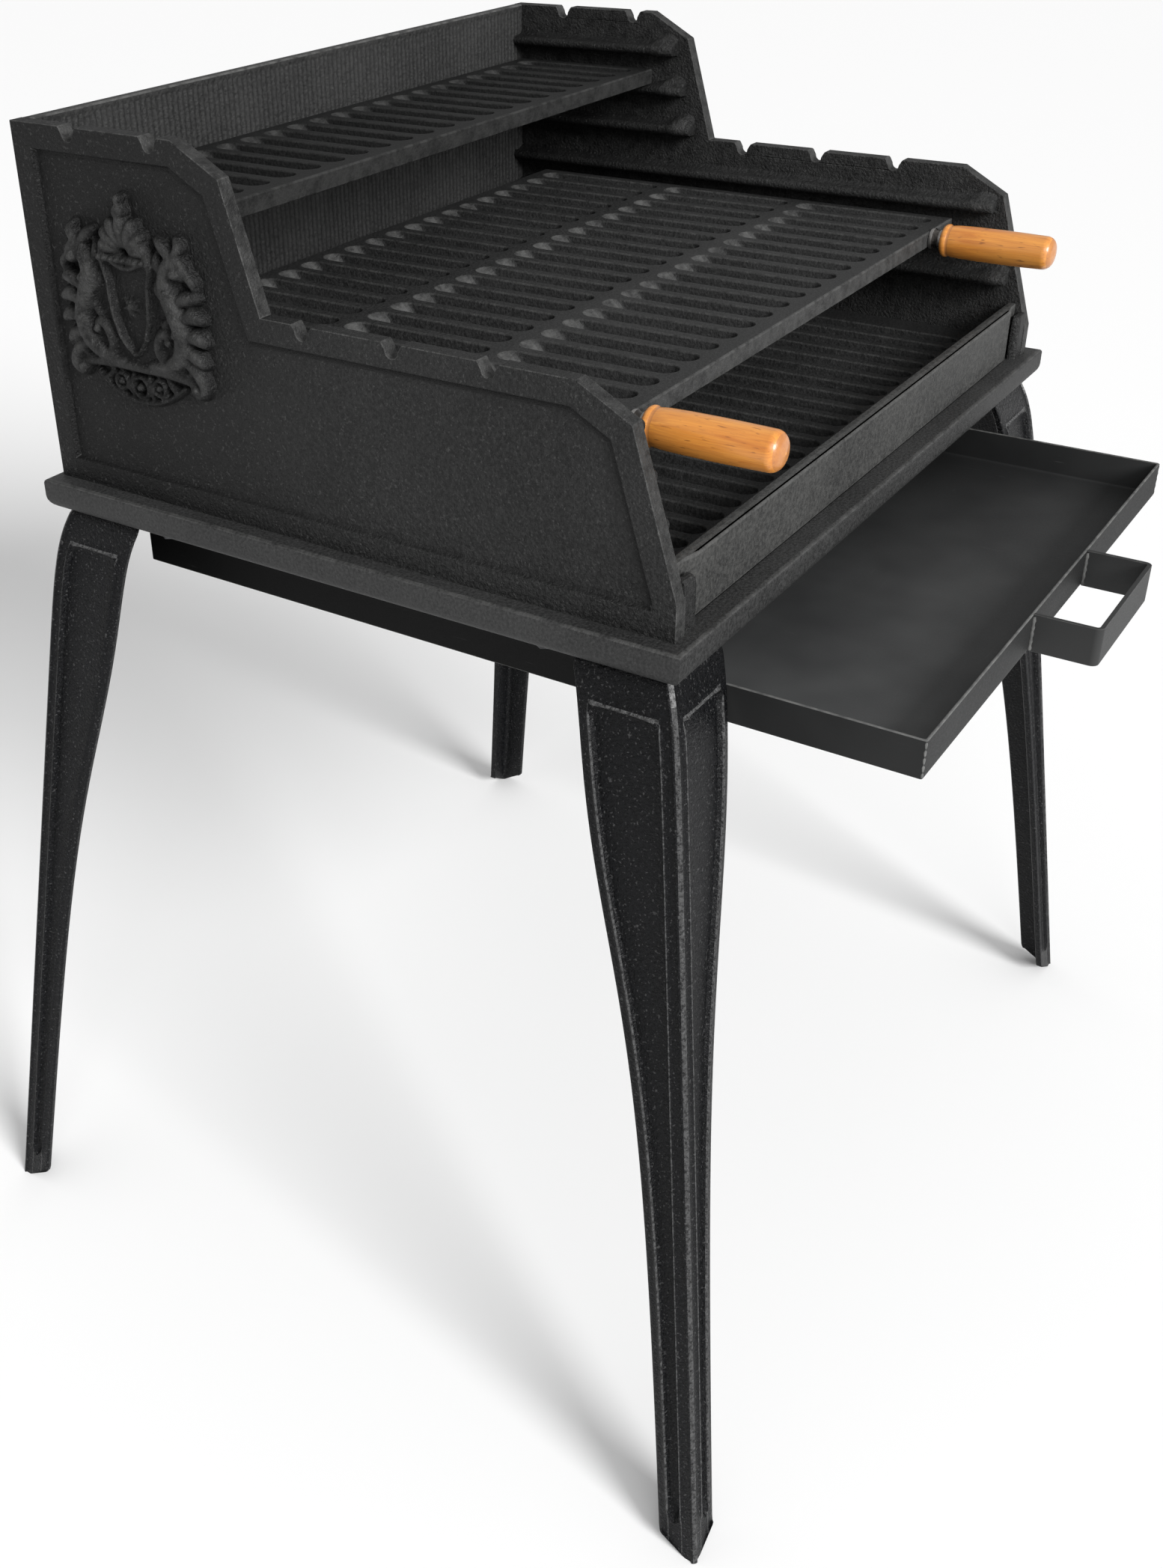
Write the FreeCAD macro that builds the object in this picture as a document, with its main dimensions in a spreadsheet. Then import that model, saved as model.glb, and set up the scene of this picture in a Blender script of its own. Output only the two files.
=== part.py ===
"""Cast-iron garden grill on four splayed legs, with an ash tray and two lift-out grates.

Local axes: X to the right, -Y towards the cook, Z up.  Every piece is drawn about the
centre of the base frame's top face, and its Placement then lifts it to its height above
the ground, so that the origin lies under the middle of the whole grill's box.
"""
import FreeCAD, Part
import os

import Sketcher

doc = FreeCAD.newDocument("garden_grill")

# ---------------------------------------------------------------- driving dimensions (mm)
SIZES = {
    # base frame: a cast ring that carries everything
    "frame_width": 620, "frame_depth": 496, "frame_height": 22, "frame_ring": 46,
    "frame_nose": 10,
    # legs: L-shaped castings that swell below the frame and taper to the foot
    "leg_height": 622, "leg_wall": 7, "leg_setback": 11, "leg_splay_side": 88,
    "leg_splay_front": 95, "leg_top_width": 66, "leg_foot_width": 28,
    "leg_pad": 36, "leg_pad_height": 8,
    # side plates: stepped castings with a sunk panel outside and shelf ledges inside
    "plate_wall": 10, "plate_side_margin": 14, "plate_rear_margin": 6,
    "plate_front_margin": 10, "plate_rear_height": 237, "plate_front_height": 140,
    "rear_top_depth": 136, "bevel_run": 35, "bevel_drop": 19, "rear_slope": 24,
    "front_slope": 31, "toe_height": 23, "panel_border": 15, "panel_sink": 2,
    "notch_width": 14, "notch_sink": 9, "rear_notch_inset": 50, "bevel_notch_inset": 18,
    "front_notch_inset": 56, "step_notch_inset": 31, "ledge_reach": 16,
    "ledge_height": 8, "low_ledge_margin": 27, "low_ledge_pitch": 27,
    "high_ledge_margin": 28, "high_ledge_pitch": 31, "ledge_front_gap": 7,
    "ledge_rear_gap": 12, "front_ledge_gap": 1, "lug_width": 16, "lug_height": 34,
    "crest_half_width": 46, "crest_half_height": 58,
    "crest_rise": 5, "crest_from_rear": 89, "crest_middle": 132,
    # back and front plates
    "back_wall": 8, "front_wall": 10, "front_height": 41, "front_setback": 6,
    # fire grate, cooking grate and warming grate
    "fire_grate_height": 14, "fire_slot_width": 12, "fire_slot_pitch": 24,
    "fire_rail": 26, "grate_height": 12, "grate_side_gap": 8,
    "slot_width": 14, "slot_pitch": 26, "grate_side_rail": 10, "grate_front_rail": 12,
    "grate_rear_rail": 10, "grate_rib": 10, "cooking_setback": 66, "cooking_rear_gap": 30,
    "warming_depth": 131, "warming_rear_gap": 4, "seat_gap": 0.3,
    # wooden handles on the cooking grate
    "grip_length": 85, "grip_radius": 12.5, "grip_bead": 1.2, "grip_inset": 45,
    "ferrule_length": 10, "ferrule_radius": 8, "stud_radius": 4, "stud_in_grip": 50,
    "stud_in_grate": 9,
    # ash tray, its strap handle and its guides
    "tray_past_leg": 7, "tray_rear_margin": 35, "tray_height": 26, "tray_wall": 2,
    "tray_drop": 28, "tray_closed_setback": 13, "tray_drawn": 132, "strap_span": 115,
    "strap_reach": 43, "strap_wall": 3, "guide_wall": 3, "guide_gap": 3,
    "guide_lap": 18, "guide_shelf": 14, "guide_end_margin": 30, "guide_top_cutback": 33,
    # fasteners
    "leg_bolt_radius": 4, "leg_bolt_length": 24, "plate_bolt_radius": 3,
    "plate_bolt_length": 36, "side_bolt_inset": 98, "cross_bolt_inset": 160,
    "guide_screw_radius": 2.5, "guide_screw_length": 15, "guide_screw_inset": 25, "washer_wall": 1.6,
}

sizes = doc.addObject("Spreadsheet::Sheet", "Sizes")
for row, (alias, number) in enumerate(SIZES.items(), start=1):
    sizes.set(f"A{row}", alias)
    sizes.set(f"B{row}", str(number))
    sizes.setAlias(f"B{row}", alias)
doc.recompute()

# ------------------------------------------------------------------ derived expressions
half_width = "Sizes.frame_width / 2"
half_depth = "Sizes.frame_depth / 2"
frame_top = "Sizes.leg_height + Sizes.frame_height"
plate_outer = "(Sizes.frame_width / 2 - Sizes.plate_side_margin)"
plate_inner = f"({plate_outer} - Sizes.plate_wall)"
plate_rear = "(Sizes.frame_depth / 2 - Sizes.plate_rear_margin)"
plate_front = "(Sizes.plate_front_margin - Sizes.frame_depth / 2)"
leg_ridge_x = "(Sizes.frame_width / 2 - Sizes.leg_setback)"
leg_ridge_y = "(Sizes.frame_depth / 2 - Sizes.leg_setback)"
back_inner = f"({plate_rear} - Sizes.back_wall)"
front_outer = f"({plate_front} + Sizes.front_setback)"
front_inner = f"({front_outer} + Sizes.front_wall)"
grate_side = f"({plate_inner} - Sizes.grate_side_gap)"
cooking_front = f"({plate_front} + Sizes.cooking_setback)"
cooking_rear = f"({back_inner} - Sizes.cooking_rear_gap)"
low_ledge_top = "(Sizes.plate_front_height - Sizes.low_ledge_margin)"
high_ledge_top = "(Sizes.plate_rear_height - Sizes.high_ledge_margin)"
# the lowest ledge always stays clear of the front plate's top edge
lowest_ledge = (f"max({low_ledge_top} - 2 * Sizes.low_ledge_pitch; "
                "Sizes.front_height + Sizes.ledge_height / 2 + Sizes.front_ledge_gap)")
LEDGES = [lowest_ledge]
LEDGES += [f"({low_ledge_top} - {below} * Sizes.low_ledge_pitch)" for below in (1, 0)]
LEDGES += [f"({high_ledge_top} - {below} * Sizes.high_ledge_pitch)" for below in (2, 1, 0)]
COOKING_LEDGE = 1
WARMING_LEDGE = 4
cooking_floor = f"({LEDGES[COOKING_LEDGE]} + Sizes.ledge_height / 2 + Sizes.seat_gap)"
warming_floor = f"({LEDGES[WARMING_LEDGE]} + Sizes.ledge_height / 2 + Sizes.seat_gap)"
warming_rear = f"({back_inner} - Sizes.warming_rear_gap)"
tray_half = f"({leg_ridge_x} - Sizes.leg_top_width + Sizes.tray_past_leg)"
tray_front = "(Sizes.tray_closed_setback - Sizes.frame_depth / 2 - Sizes.tray_drawn)"
tray_rear = "(Sizes.frame_depth / 2 - Sizes.tray_rear_margin - Sizes.tray_drawn)"
tray_top = "(-Sizes.frame_height - Sizes.tray_drop)"
tray_floor = f"({tray_top} - Sizes.tray_height)"
guide_web = f"({tray_half} + Sizes.guide_gap)"
guide_half = "(Sizes.frame_depth / 2 - Sizes.guide_end_margin)"
guide_flange_end = "(Sizes.frame_width / 2 - Sizes.frame_ring + Sizes.guide_lap)"
guide_shelf_top = f"({tray_floor} - Sizes.seat_gap)"
bolt_x = f"({leg_ridge_x} - Sizes.leg_wall - Sizes.leg_pad / 2)"
bolt_y = f"({leg_ridge_y} - Sizes.leg_wall - Sizes.leg_pad / 2)"
side_bolt_y = "(Sizes.frame_depth / 2 - Sizes.side_bolt_inset)"
cross_bolt_x = "(Sizes.frame_width / 2 - Sizes.cross_bolt_inset)"
guide_screw_x = "(Sizes.frame_width / 2 - Sizes.frame_ring + Sizes.guide_lap / 2)"
guide_screw_y = f"({guide_half} - Sizes.guide_top_cutback - Sizes.guide_screw_inset)"
# the box reaches from the drawn tray's strap to the rear feet, and the origin is halfway
grill_shift = f"((Sizes.strap_reach - {tray_front}) - ({leg_ridge_y} + Sizes.leg_splay_front)) / 2"


# ----------------------------------------------------------------------------- helpers
def value(expression):
    """The number that an expression over the sheet gives now."""
    result = sizes.evalExpression(expression.replace("Sizes.", ""))
    return float(getattr(result, "Value", result))


def place(piece, label):
    """Label a finished sub-part and lift it from the frame's axes to the ground's."""
    piece.Label = label
    piece.setExpression("Placement.Base.y", grill_shift)
    piece.setExpression("Placement.Base.z", frame_top)
    finished.append(piece)
    return piece


def origin_plane(body, role):
    return next(plane for plane in body.Origin.OriginFeatures if plane.Role == role)


def new_sketch(body, name, role, lift=None):
    sketch = body.newObject("Sketcher::SketchObject", name)
    sketch.AttachmentSupport = [(origin_plane(body, role), "")]
    sketch.MapMode = "FlatFace"
    if lift is not None:
        sketch.setExpression("AttachmentOffset.Base.z", lift)
    return sketch


def pin(sketch, geometry, point, across, up):
    """Hold one point of a sketch at two expressions measured from the sketch's origin."""
    for kind, expression in (("DistanceX", across), ("DistanceY", up)):
        index = sketch.addConstraint(
            Sketcher.Constraint(kind, -1, 1, geometry, point, value(expression)))
        sketch.setExpression(f"Constraints[{index}]", expression)


def add_outline(sketch, corners):
    """A closed run of straight lines through corners given as pairs of expressions."""
    spots = [FreeCAD.Vector(value(across), value(up), 0) for across, up in corners]
    first = sketch.GeometryCount
    count = len(spots)
    for index in range(count):
        sketch.addGeometry(Part.LineSegment(spots[index], spots[(index + 1) % count]))
    for index, (across, up) in enumerate(corners):
        following = first + (index + 1) % count
        sketch.addConstraint(Sketcher.Constraint("Coincident", first + index, 2, following, 1))
        pin(sketch, first + index, 1, across, up)


def add_rectangle(sketch, left, right, bottom, top):
    add_outline(sketch, [(left, bottom), (right, bottom), (right, top), (left, top)])


def add_circle(sketch, across, up, radius):
    centre = FreeCAD.Vector(value(across), value(up), 0)
    circle = Part.Circle(centre, FreeCAD.Vector(0, 0, 1), value(radius))
    geometry = sketch.addGeometry(circle)
    pin(sketch, geometry, 3, across, up)
    index = sketch.addConstraint(Sketcher.Constraint("Radius", geometry, value(radius)))
    sketch.setExpression(f"Constraints[{index}]", radius)


def add_slot(sketch, across, near, far, width):
    """A slot along the sketch's second axis with half-round ends at near and far."""
    radius = f"({width}) / 2"
    turn = FreeCAD.Vector(0, 0, 1)
    quarter = 3.14159265358979 / 2
    reach = value(radius)
    first = sketch.GeometryCount
    low = FreeCAD.Vector(value(across), value(near) + reach, 0)
    high = FreeCAD.Vector(value(across), value(far) - reach, 0)
    side = FreeCAD.Vector(reach, 0, 0)
    sketch.addGeometry(Part.ArcOfCircle(Part.Circle(high, turn, reach), 0, 2 * quarter))
    sketch.addGeometry(Part.ArcOfCircle(Part.Circle(low, turn, reach), 2 * quarter, 4 * quarter))
    sketch.addGeometry(Part.LineSegment(high + side, low + side))
    sketch.addGeometry(Part.LineSegment(high - side, low - side))
    cap, foot, right, left = range(first, first + 4)
    for one, end, other, start in ((cap, 1, right, 1), (cap, 2, left, 1),
                                   (foot, 1, left, 2), (foot, 2, right, 2)):
        sketch.addConstraint(Sketcher.Constraint("Tangent", one, end, other, start))
    sketch.addConstraint(Sketcher.Constraint("Equal", cap, foot))
    index = sketch.addConstraint(Sketcher.Constraint("Radius", cap, reach))
    sketch.setExpression(f"Constraints[{index}]", radius)
    pin(sketch, cap, 3, across, f"{far} - {radius}")
    pin(sketch, foot, 3, across, f"{near} + {radius}")


def new_body(name):
    return doc.addObject("PartDesign::Body", name)


def pad(body, sketch, length, name, reverse=False, centred=False):
    feature = body.newObject("PartDesign::Pad", name)
    feature.Profile = sketch
    feature.Reversed = reverse
    feature.Midplane = centred
    feature.setExpression("Length", length)
    doc.recompute()
    return feature


def pocket(body, sketch, length, name, reverse=False, centred=False):
    """Cut a sketch into a body, and stop if the cut took nothing away."""
    doc.recompute()
    before = body.Shape.Volume
    feature = body.newObject("PartDesign::Pocket", name)
    feature.Profile = sketch
    feature.Reversed = reverse
    feature.Midplane = centred
    feature.setExpression("Length", length)
    doc.recompute()
    if body.Shape.Volume >= before - 1e-6:
        raise RuntimeError(f"{name} cut nothing")
    return feature


def row_across(body, feature, sketch, pitch, count, name):
    """Repeat a cut along X, with its first copy where the sketch has it."""
    pattern = body.newObject("PartDesign::LinearPattern", name)
    pattern.Originals = [feature]
    pattern.Direction = (sketch, ["H_Axis"])
    pattern.setExpression("Length", f"{pitch} * ({count} - 1)")
    pattern.setExpression("Occurrences", count)
    body.Tip = pattern
    doc.recompute()
    return pattern


def edges_where(shape, test):
    return [f"Edge{number}" for number, edge in enumerate(shape.Edges, start=1) if test(edge)]


def round_edges(body, feature, radius, name, test):
    doc.recompute()
    fillet = body.newObject("PartDesign::Fillet", name)
    fillet.Base = (feature, edges_where(feature.Shape, test))
    fillet.setExpression("Radius", radius)
    doc.recompute()
    return fillet


def mirrored(side, expression):
    """An expression for the right-hand side, or its opposite for the left-hand side."""
    return f"{side} * ({expression})"


finished = []


# -------------------------------------------------------------------------- base frame
def make_base_frame():
    body = new_body("base_frame")
    ring = new_sketch(body, "frame_plan", "XY_Plane")
    add_rectangle(ring, f"-{half_width}", half_width, f"-{half_depth}", half_depth)
    add_rectangle(ring, f"Sizes.frame_ring - {half_width}", f"{half_width} - Sizes.frame_ring",
                  f"Sizes.frame_ring - {half_depth}", f"{half_depth} - Sizes.frame_ring")
    slab = pad(body, ring, "Sizes.frame_height", "frame_slab", reverse=True)
    floor = -value("Sizes.frame_height")
    opening = value(f"{half_depth} - Sizes.frame_ring")
    opening_side = value(f"{half_width} - Sizes.frame_ring")

    def outer_lower(edge):
        box = edge.BoundBox
        outside = max(abs(box.YMin), abs(box.YMax)) > opening + 1
        outside_side = max(abs(box.XMin), abs(box.XMax)) > opening_side + 1
        return box.ZMax < floor + 1e-6 and outside and outside_side

    nose = round_edges(body, slab, "Sizes.frame_nose", "frame_nose", outer_lower)
    holes = new_sketch(body, "bolt_holes", "XY_Plane", "-Sizes.frame_height")
    for side in (-1, 1):
        for end in (-1, 1):
            add_circle(holes, mirrored(side, bolt_x), mirrored(end, bolt_y), "Sizes.leg_bolt_radius")
            add_circle(holes, mirrored(side, guide_screw_x), mirrored(end, guide_screw_y),
                       "Sizes.guide_screw_radius")
    leg_depth = "Sizes.leg_bolt_length - Sizes.leg_pad_height - Sizes.washer_wall"
    pocket(body, holes, leg_depth, "leg_and_guide_holes", reverse=True)
    through = new_sketch(body, "plate_holes", "XY_Plane")
    for across, along in plate_bolt_places():
        add_circle(through, across, along, "Sizes.plate_bolt_radius")
    pocket(body, through, "Sizes.frame_height", "plate_bolt_holes")
    return place(body, "base_frame")


def plate_bolt_places():
    """Where the bolts stand that hold the four plates down, two to a plate."""
    middle_of_side = f"({plate_outer} - Sizes.plate_wall / 2)"
    middle_of_back = f"({plate_rear} - Sizes.back_wall / 2)"
    middle_of_front = f"({front_outer} + Sizes.front_wall / 2)"
    places = []
    for sign in (-1, 1):
        along = mirrored(sign, side_bolt_y)
        across = mirrored(sign, cross_bolt_x)
        places += [(mirrored(-1, middle_of_side), along), (middle_of_side, along),
                   (across, middle_of_back), (across, middle_of_front)]
    return places


# -------------------------------------------------------------------------- side plates
step_foot = f"({plate_rear} - Sizes.rear_top_depth - Sizes.bevel_run - Sizes.rear_slope)"
front_bevel = f"({plate_front} + Sizes.front_slope + Sizes.bevel_run)"


def plate_outline(inset):
    """The stepped side outline as (along, up) expressions, drawn in by inset."""
    rear = f"({plate_rear} - {inset})"
    top = f"(Sizes.plate_rear_height - {inset})"
    low = f"(Sizes.plate_front_height - {inset})"
    step_top = f"({plate_rear} - Sizes.rear_top_depth - Sizes.bevel_run)"
    bevel_start = f"({plate_rear} - Sizes.rear_top_depth)"
    slope_top = f"({plate_front} + Sizes.front_slope)"
    half = f"{inset} / 2"
    return [
        (rear, inset),
        (rear, top),
        (f"{bevel_start} + {half}", top),
        (f"{step_top} + {inset}", f"Sizes.plate_rear_height - Sizes.bevel_drop - {half}"),
        (f"{step_foot} + {inset}", low),
        (f"{front_bevel} + {half}", low),
        (f"{slope_top} + {inset}", f"Sizes.plate_front_height - Sizes.bevel_drop - {half}"),
        (f"{plate_front} + {inset}", f"Sizes.toe_height + {half}"),
        (f"{plate_front} + {inset}", inset),
    ]


def notch_places():
    """(along, top of the edge) for every skewer notch on a side plate."""
    near_back = f"({plate_rear} - Sizes.rear_notch_inset)"
    near_bevel = f"({plate_rear} - Sizes.rear_top_depth + Sizes.bevel_notch_inset)"
    near_step = f"({step_foot} - Sizes.step_notch_inset)"
    near_front = f"({front_bevel} + Sizes.front_notch_inset)"
    middle = f"(({near_step} + {near_front}) / 2)"
    rear = [(along, "Sizes.plate_rear_height") for along in (near_back, near_bevel)]
    front = [(along, "Sizes.plate_front_height") for along in (near_step, middle, near_front)]
    return rear + front


def slope_at(up, bottom_along, bottom_up, run, rise):
    """How far along a leaning front edge lies at a height."""
    return f"({bottom_along} + ({up} - {bottom_up}) * ({run}) / ({rise}))"


def ledge_spans():
    """(up, front end) of each shelf ledge, lowest first."""
    spans = []
    front_rise = "Sizes.plate_front_height - Sizes.bevel_drop - Sizes.toe_height"
    rear_rise = "Sizes.plate_rear_height - Sizes.bevel_drop - Sizes.plate_front_height"
    for number, up in enumerate(LEDGES):
        if number < 3:
            edge = slope_at(up, plate_front, "Sizes.toe_height", "Sizes.front_slope", front_rise)
            spans.append((up, f"({edge} + Sizes.ledge_front_gap)"))
        else:
            edge = slope_at(up, step_foot, "Sizes.plate_front_height", "Sizes.rear_slope", rear_rise)
            spans.append((up, f"({edge} + Sizes.ledge_rear_gap)"))
    return spans


def make_side_plate(label, side):
    """side is 1 for the right-hand plate and -1 for the left-hand plate."""
    body = new_body(label)
    outer = mirrored(side, plate_outer)
    inner = mirrored(side, plate_inner)
    inward = side > 0
    profile = new_sketch(body, "profile", "YZ_Plane", outer)
    add_outline(profile, plate_outline("0"))
    pad(body, profile, "Sizes.plate_wall", "plate", reverse=inward)
    for index, (along, top) in enumerate(notch_places()):
        notch = new_sketch(body, f"notch_{index}", "YZ_Plane", outer)
        add_slot(notch, along, f"{top} - Sizes.notch_sink", f"{top} + Sizes.notch_width",
                 "Sizes.notch_width")
        pocket(body, notch, "Sizes.plate_wall", f"notch_cut_{index}", reverse=not inward)
    panel = new_sketch(body, "panel", "YZ_Plane", outer)
    add_outline(panel, plate_outline("Sizes.panel_border"))
    pocket(body, panel, "Sizes.panel_sink", "panel_sink", reverse=not inward)
    crest = new_sketch(body, "crest", "YZ_Plane", f"{side} * ({plate_outer} - Sizes.panel_sink)")
    middle = f"({plate_rear} - Sizes.crest_from_rear)"
    wide = "Sizes.crest_half_width"
    tall = "Sizes.crest_half_height"
    corners = ((1, 0.45), (0.6, 0.85), (0, 1), (-0.6, 0.85), (-1, 0.45),
               (-0.9, -0.4), (-0.5, -0.85), (0, -1), (0.5, -0.85), (0.9, -0.4))
    add_outline(crest, [(f"{middle} + {along} * {wide}", f"Sizes.crest_middle + {up} * {tall}")
                        for along, up in corners])
    pad(body, crest, "Sizes.panel_sink + Sizes.crest_rise", "crest", reverse=not inward)
    ledges = new_sketch(body, "ledges", "YZ_Plane", inner)
    for up, front in ledge_spans():
        add_rectangle(ledges, front, back_inner, f"{up} - Sizes.ledge_height / 2",
                      f"{up} + Sizes.ledge_height / 2")
    pad(body, ledges, "Sizes.ledge_reach", "ledge_ribs", reverse=inward)
    lug = new_sketch(body, "lug", "YZ_Plane", inner)
    add_rectangle(lug, plate_front, front_outer, "0", "Sizes.lug_height")
    pad(body, lug, "Sizes.lug_width", "lug", reverse=inward)
    bolts = new_sketch(body, "bolt_holes", "XY_Plane")
    for sign in (-1, 1):
        add_circle(bolts, mirrored(side, f"{plate_outer} - Sizes.plate_wall / 2"),
                   mirrored(sign, side_bolt_y), "Sizes.plate_bolt_radius")
    pocket(body, bolts, plate_bolt_sink, "bolt_holes_cut", reverse=True)
    return place(body, label)


plate_bolt_sink = "Sizes.plate_bolt_length - Sizes.frame_height - Sizes.washer_wall"


# ---------------------------------------------------------------- back and front plates
def make_cross_plate(label, low_along, high_along, height):
    """A plain plate between the side plates, bolted down through the frame."""
    body = new_body(label)
    plan = new_sketch(body, "plan", "XY_Plane")
    add_rectangle(plan, mirrored(-1, f"{plate_inner} - Sizes.seat_gap"),
                  f"{plate_inner} - Sizes.seat_gap", low_along, high_along)
    pad(body, plan, height, "plate")
    holes = new_sketch(body, "bolt_holes", "XY_Plane")
    for sign in (-1, 1):
        add_circle(holes, mirrored(sign, cross_bolt_x), f"({low_along} + {high_along}) / 2",
                   "Sizes.plate_bolt_radius")
    pocket(body, holes, plate_bolt_sink, "bolt_holes_cut", reverse=True)
    return place(body, label)


# -------------------------------------------------------------------------------- grates
def make_grate(label, front, rear, floor, height, rows, side, width, pitch, rails):
    """A slotted grate: rows of slots that run front to back, as many across as fit."""
    side_rail, front_rail, rear_rail, rib = rails
    count = f"(floor((2 * {side} - 2 * {side_rail} - {width}) / {pitch}) + 1)"
    body = new_body(label)
    plan = new_sketch(body, "plan", "XY_Plane", floor)
    add_rectangle(plan, f"-{side}", side, front, rear)
    pad(body, plan, height, "slab")
    if label == "cooking_grate":
        cut_stud_sockets(body, floor, height, front)
    column = new_sketch(body, "slot_column", "XY_Plane", floor)
    run = f"(({rear} - {rear_rail}) - ({front} + {front_rail}) - {rows - 1} * {rib}) / {rows}"
    first = f"-{pitch} * ({count} - 1) / 2"
    for row in range(rows):
        near = f"({front} + {front_rail} + {row} * ({run} + {rib}))"
        add_slot(column, first, near, f"({near} + {run})", width)
    slots = pocket(body, column, height, "slots", reverse=True)
    row_across(body, slots, column, pitch, count, "slot_rows")
    return place(body, label)


def cut_stud_sockets(body, floor, height, front):
    """Blind holes in the front rail for the two handle studs."""
    sockets = new_sketch(body, "stud_sockets", "XZ_Plane", f"-{front}")
    for sign in (-1, 1):
        add_circle(sockets, mirrored(sign, f"{grate_side} - Sizes.grip_inset"),
                   f"{floor} + {height} / 2", "Sizes.stud_radius")
    pocket(body, sockets, "Sizes.stud_in_grate", "stud_sockets_cut")


# ------------------------------------------------------------------------------- handles
def along_front(piece, side, along, floor, height):
    """Stand a turned piece on the cooking grate's front rail, pointing at the cook."""
    piece.Placement.Rotation = FreeCAD.Rotation(FreeCAD.Vector(1, 0, 0), 90)
    piece.setExpression("Placement.Base.x", mirrored(side, f"{grate_side} - Sizes.grip_inset"))
    piece.setExpression("Placement.Base.y", f"{along} + {grill_shift}")
    piece.setExpression("Placement.Base.z", f"{floor} + {height} / 2 + {frame_top}")
    finished.append(piece)


def make_grip(label, side):
    """A turned wooden grip with a bead at its root and a rounded end."""
    body = new_body(label)
    half = new_sketch(body, "half_profile", "XZ_Plane")
    radius = "Sizes.grip_radius"
    add_outline(half, [("Sizes.stud_radius", "0"), (f"{radius} - 2 * Sizes.grip_bead", "0"),
                       (radius, "2 * Sizes.grip_bead"), (radius, "4 * Sizes.grip_bead"),
                       (f"{radius} - Sizes.grip_bead", "6 * Sizes.grip_bead"),
                       (radius, "0.8 * Sizes.grip_length"), (radius, "Sizes.grip_length"),
                       ("0", "Sizes.grip_length"), ("0", "Sizes.stud_in_grip"),
                       ("Sizes.stud_radius", "Sizes.stud_in_grip")])
    turned = body.newObject("PartDesign::Revolution", "turned")
    turned.Profile = half
    turned.ReferenceAxis = (half, ["V_Axis"])
    turned.Angle = 360
    doc.recompute()
    length = value("Sizes.grip_length")
    reach = value(radius)

    def end_rim(edge):
        box = edge.BoundBox
        return box.ZMin > length - 1e-6 and box.XMax > reach - 1e-6

    round_edges(body, turned, "0.55 * Sizes.grip_radius", "round_end", end_rim)
    body.Label = label
    along_front(body, side, f"({cooking_front} - Sizes.ferrule_length)", cooking_floor,
                "Sizes.grate_height")


def make_ferrule(label, side):
    sleeve = doc.addObject("Part::Cylinder", f"{label}_sleeve")
    sleeve.setExpression("Radius", "Sizes.ferrule_radius")
    sleeve.setExpression("Height", "Sizes.ferrule_length")
    bore = doc.addObject("Part::Cylinder", f"{label}_bore")
    bore.setExpression("Radius", "Sizes.stud_radius")
    bore.setExpression("Height", "Sizes.ferrule_length")
    ferrule = doc.addObject("Part::Cut", label)
    ferrule.Base = sleeve
    ferrule.Tool = bore
    ferrule.Label = label
    along_front(ferrule, side, cooking_front, cooking_floor, "Sizes.grate_height")


def make_stud(label, side):
    stud = doc.addObject("Part::Cylinder", label)
    stud.setExpression("Radius", "Sizes.stud_radius")
    stud.setExpression("Height", "Sizes.stud_in_grate + Sizes.ferrule_length + Sizes.stud_in_grip")
    stud.Label = label
    along_front(stud, side, f"({cooking_front} + Sizes.stud_in_grate)", cooking_floor,
                "Sizes.grate_height")


# ------------------------------------------------------------------------------ ash tray
def make_ash_tray():
    body = new_body("ash_tray")
    plan = new_sketch(body, "plan", "XY_Plane", tray_floor)
    add_rectangle(plan, f"-{tray_half}", tray_half, tray_front, tray_rear)
    pad(body, plan, "Sizes.tray_height", "block")
    hollow = new_sketch(body, "hollow", "XY_Plane", f"{tray_floor} + Sizes.tray_wall")
    add_rectangle(hollow, f"Sizes.tray_wall - {tray_half}", f"{tray_half} - Sizes.tray_wall",
                  f"{tray_front} + Sizes.tray_wall", f"{tray_rear} - Sizes.tray_wall")
    pocket(body, hollow, "Sizes.tray_height", "hollow_cut", reverse=True)
    return place(body, "ash_tray")


def make_tray_handle():
    """A flat bar bent to a square loop and welded to the tray's front."""
    body = new_body("ash_tray_handle")
    plan = new_sketch(body, "plan", "XY_Plane", tray_floor)
    half = "Sizes.strap_span / 2"
    inner = f"{half} - Sizes.strap_wall"
    nose = f"{tray_front} - Sizes.strap_reach"
    add_outline(plan, [(f"-{half}", tray_front), (f"-{half}", nose), (half, nose),
                       (half, tray_front), (inner, tray_front),
                       (inner, f"{nose} + Sizes.strap_wall"),
                       (f"-({inner})", f"{nose} + Sizes.strap_wall"), (f"-({inner})", tray_front)])
    pad(body, plan, "Sizes.tray_height", "loop")
    return place(body, "ash_tray_handle")


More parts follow.
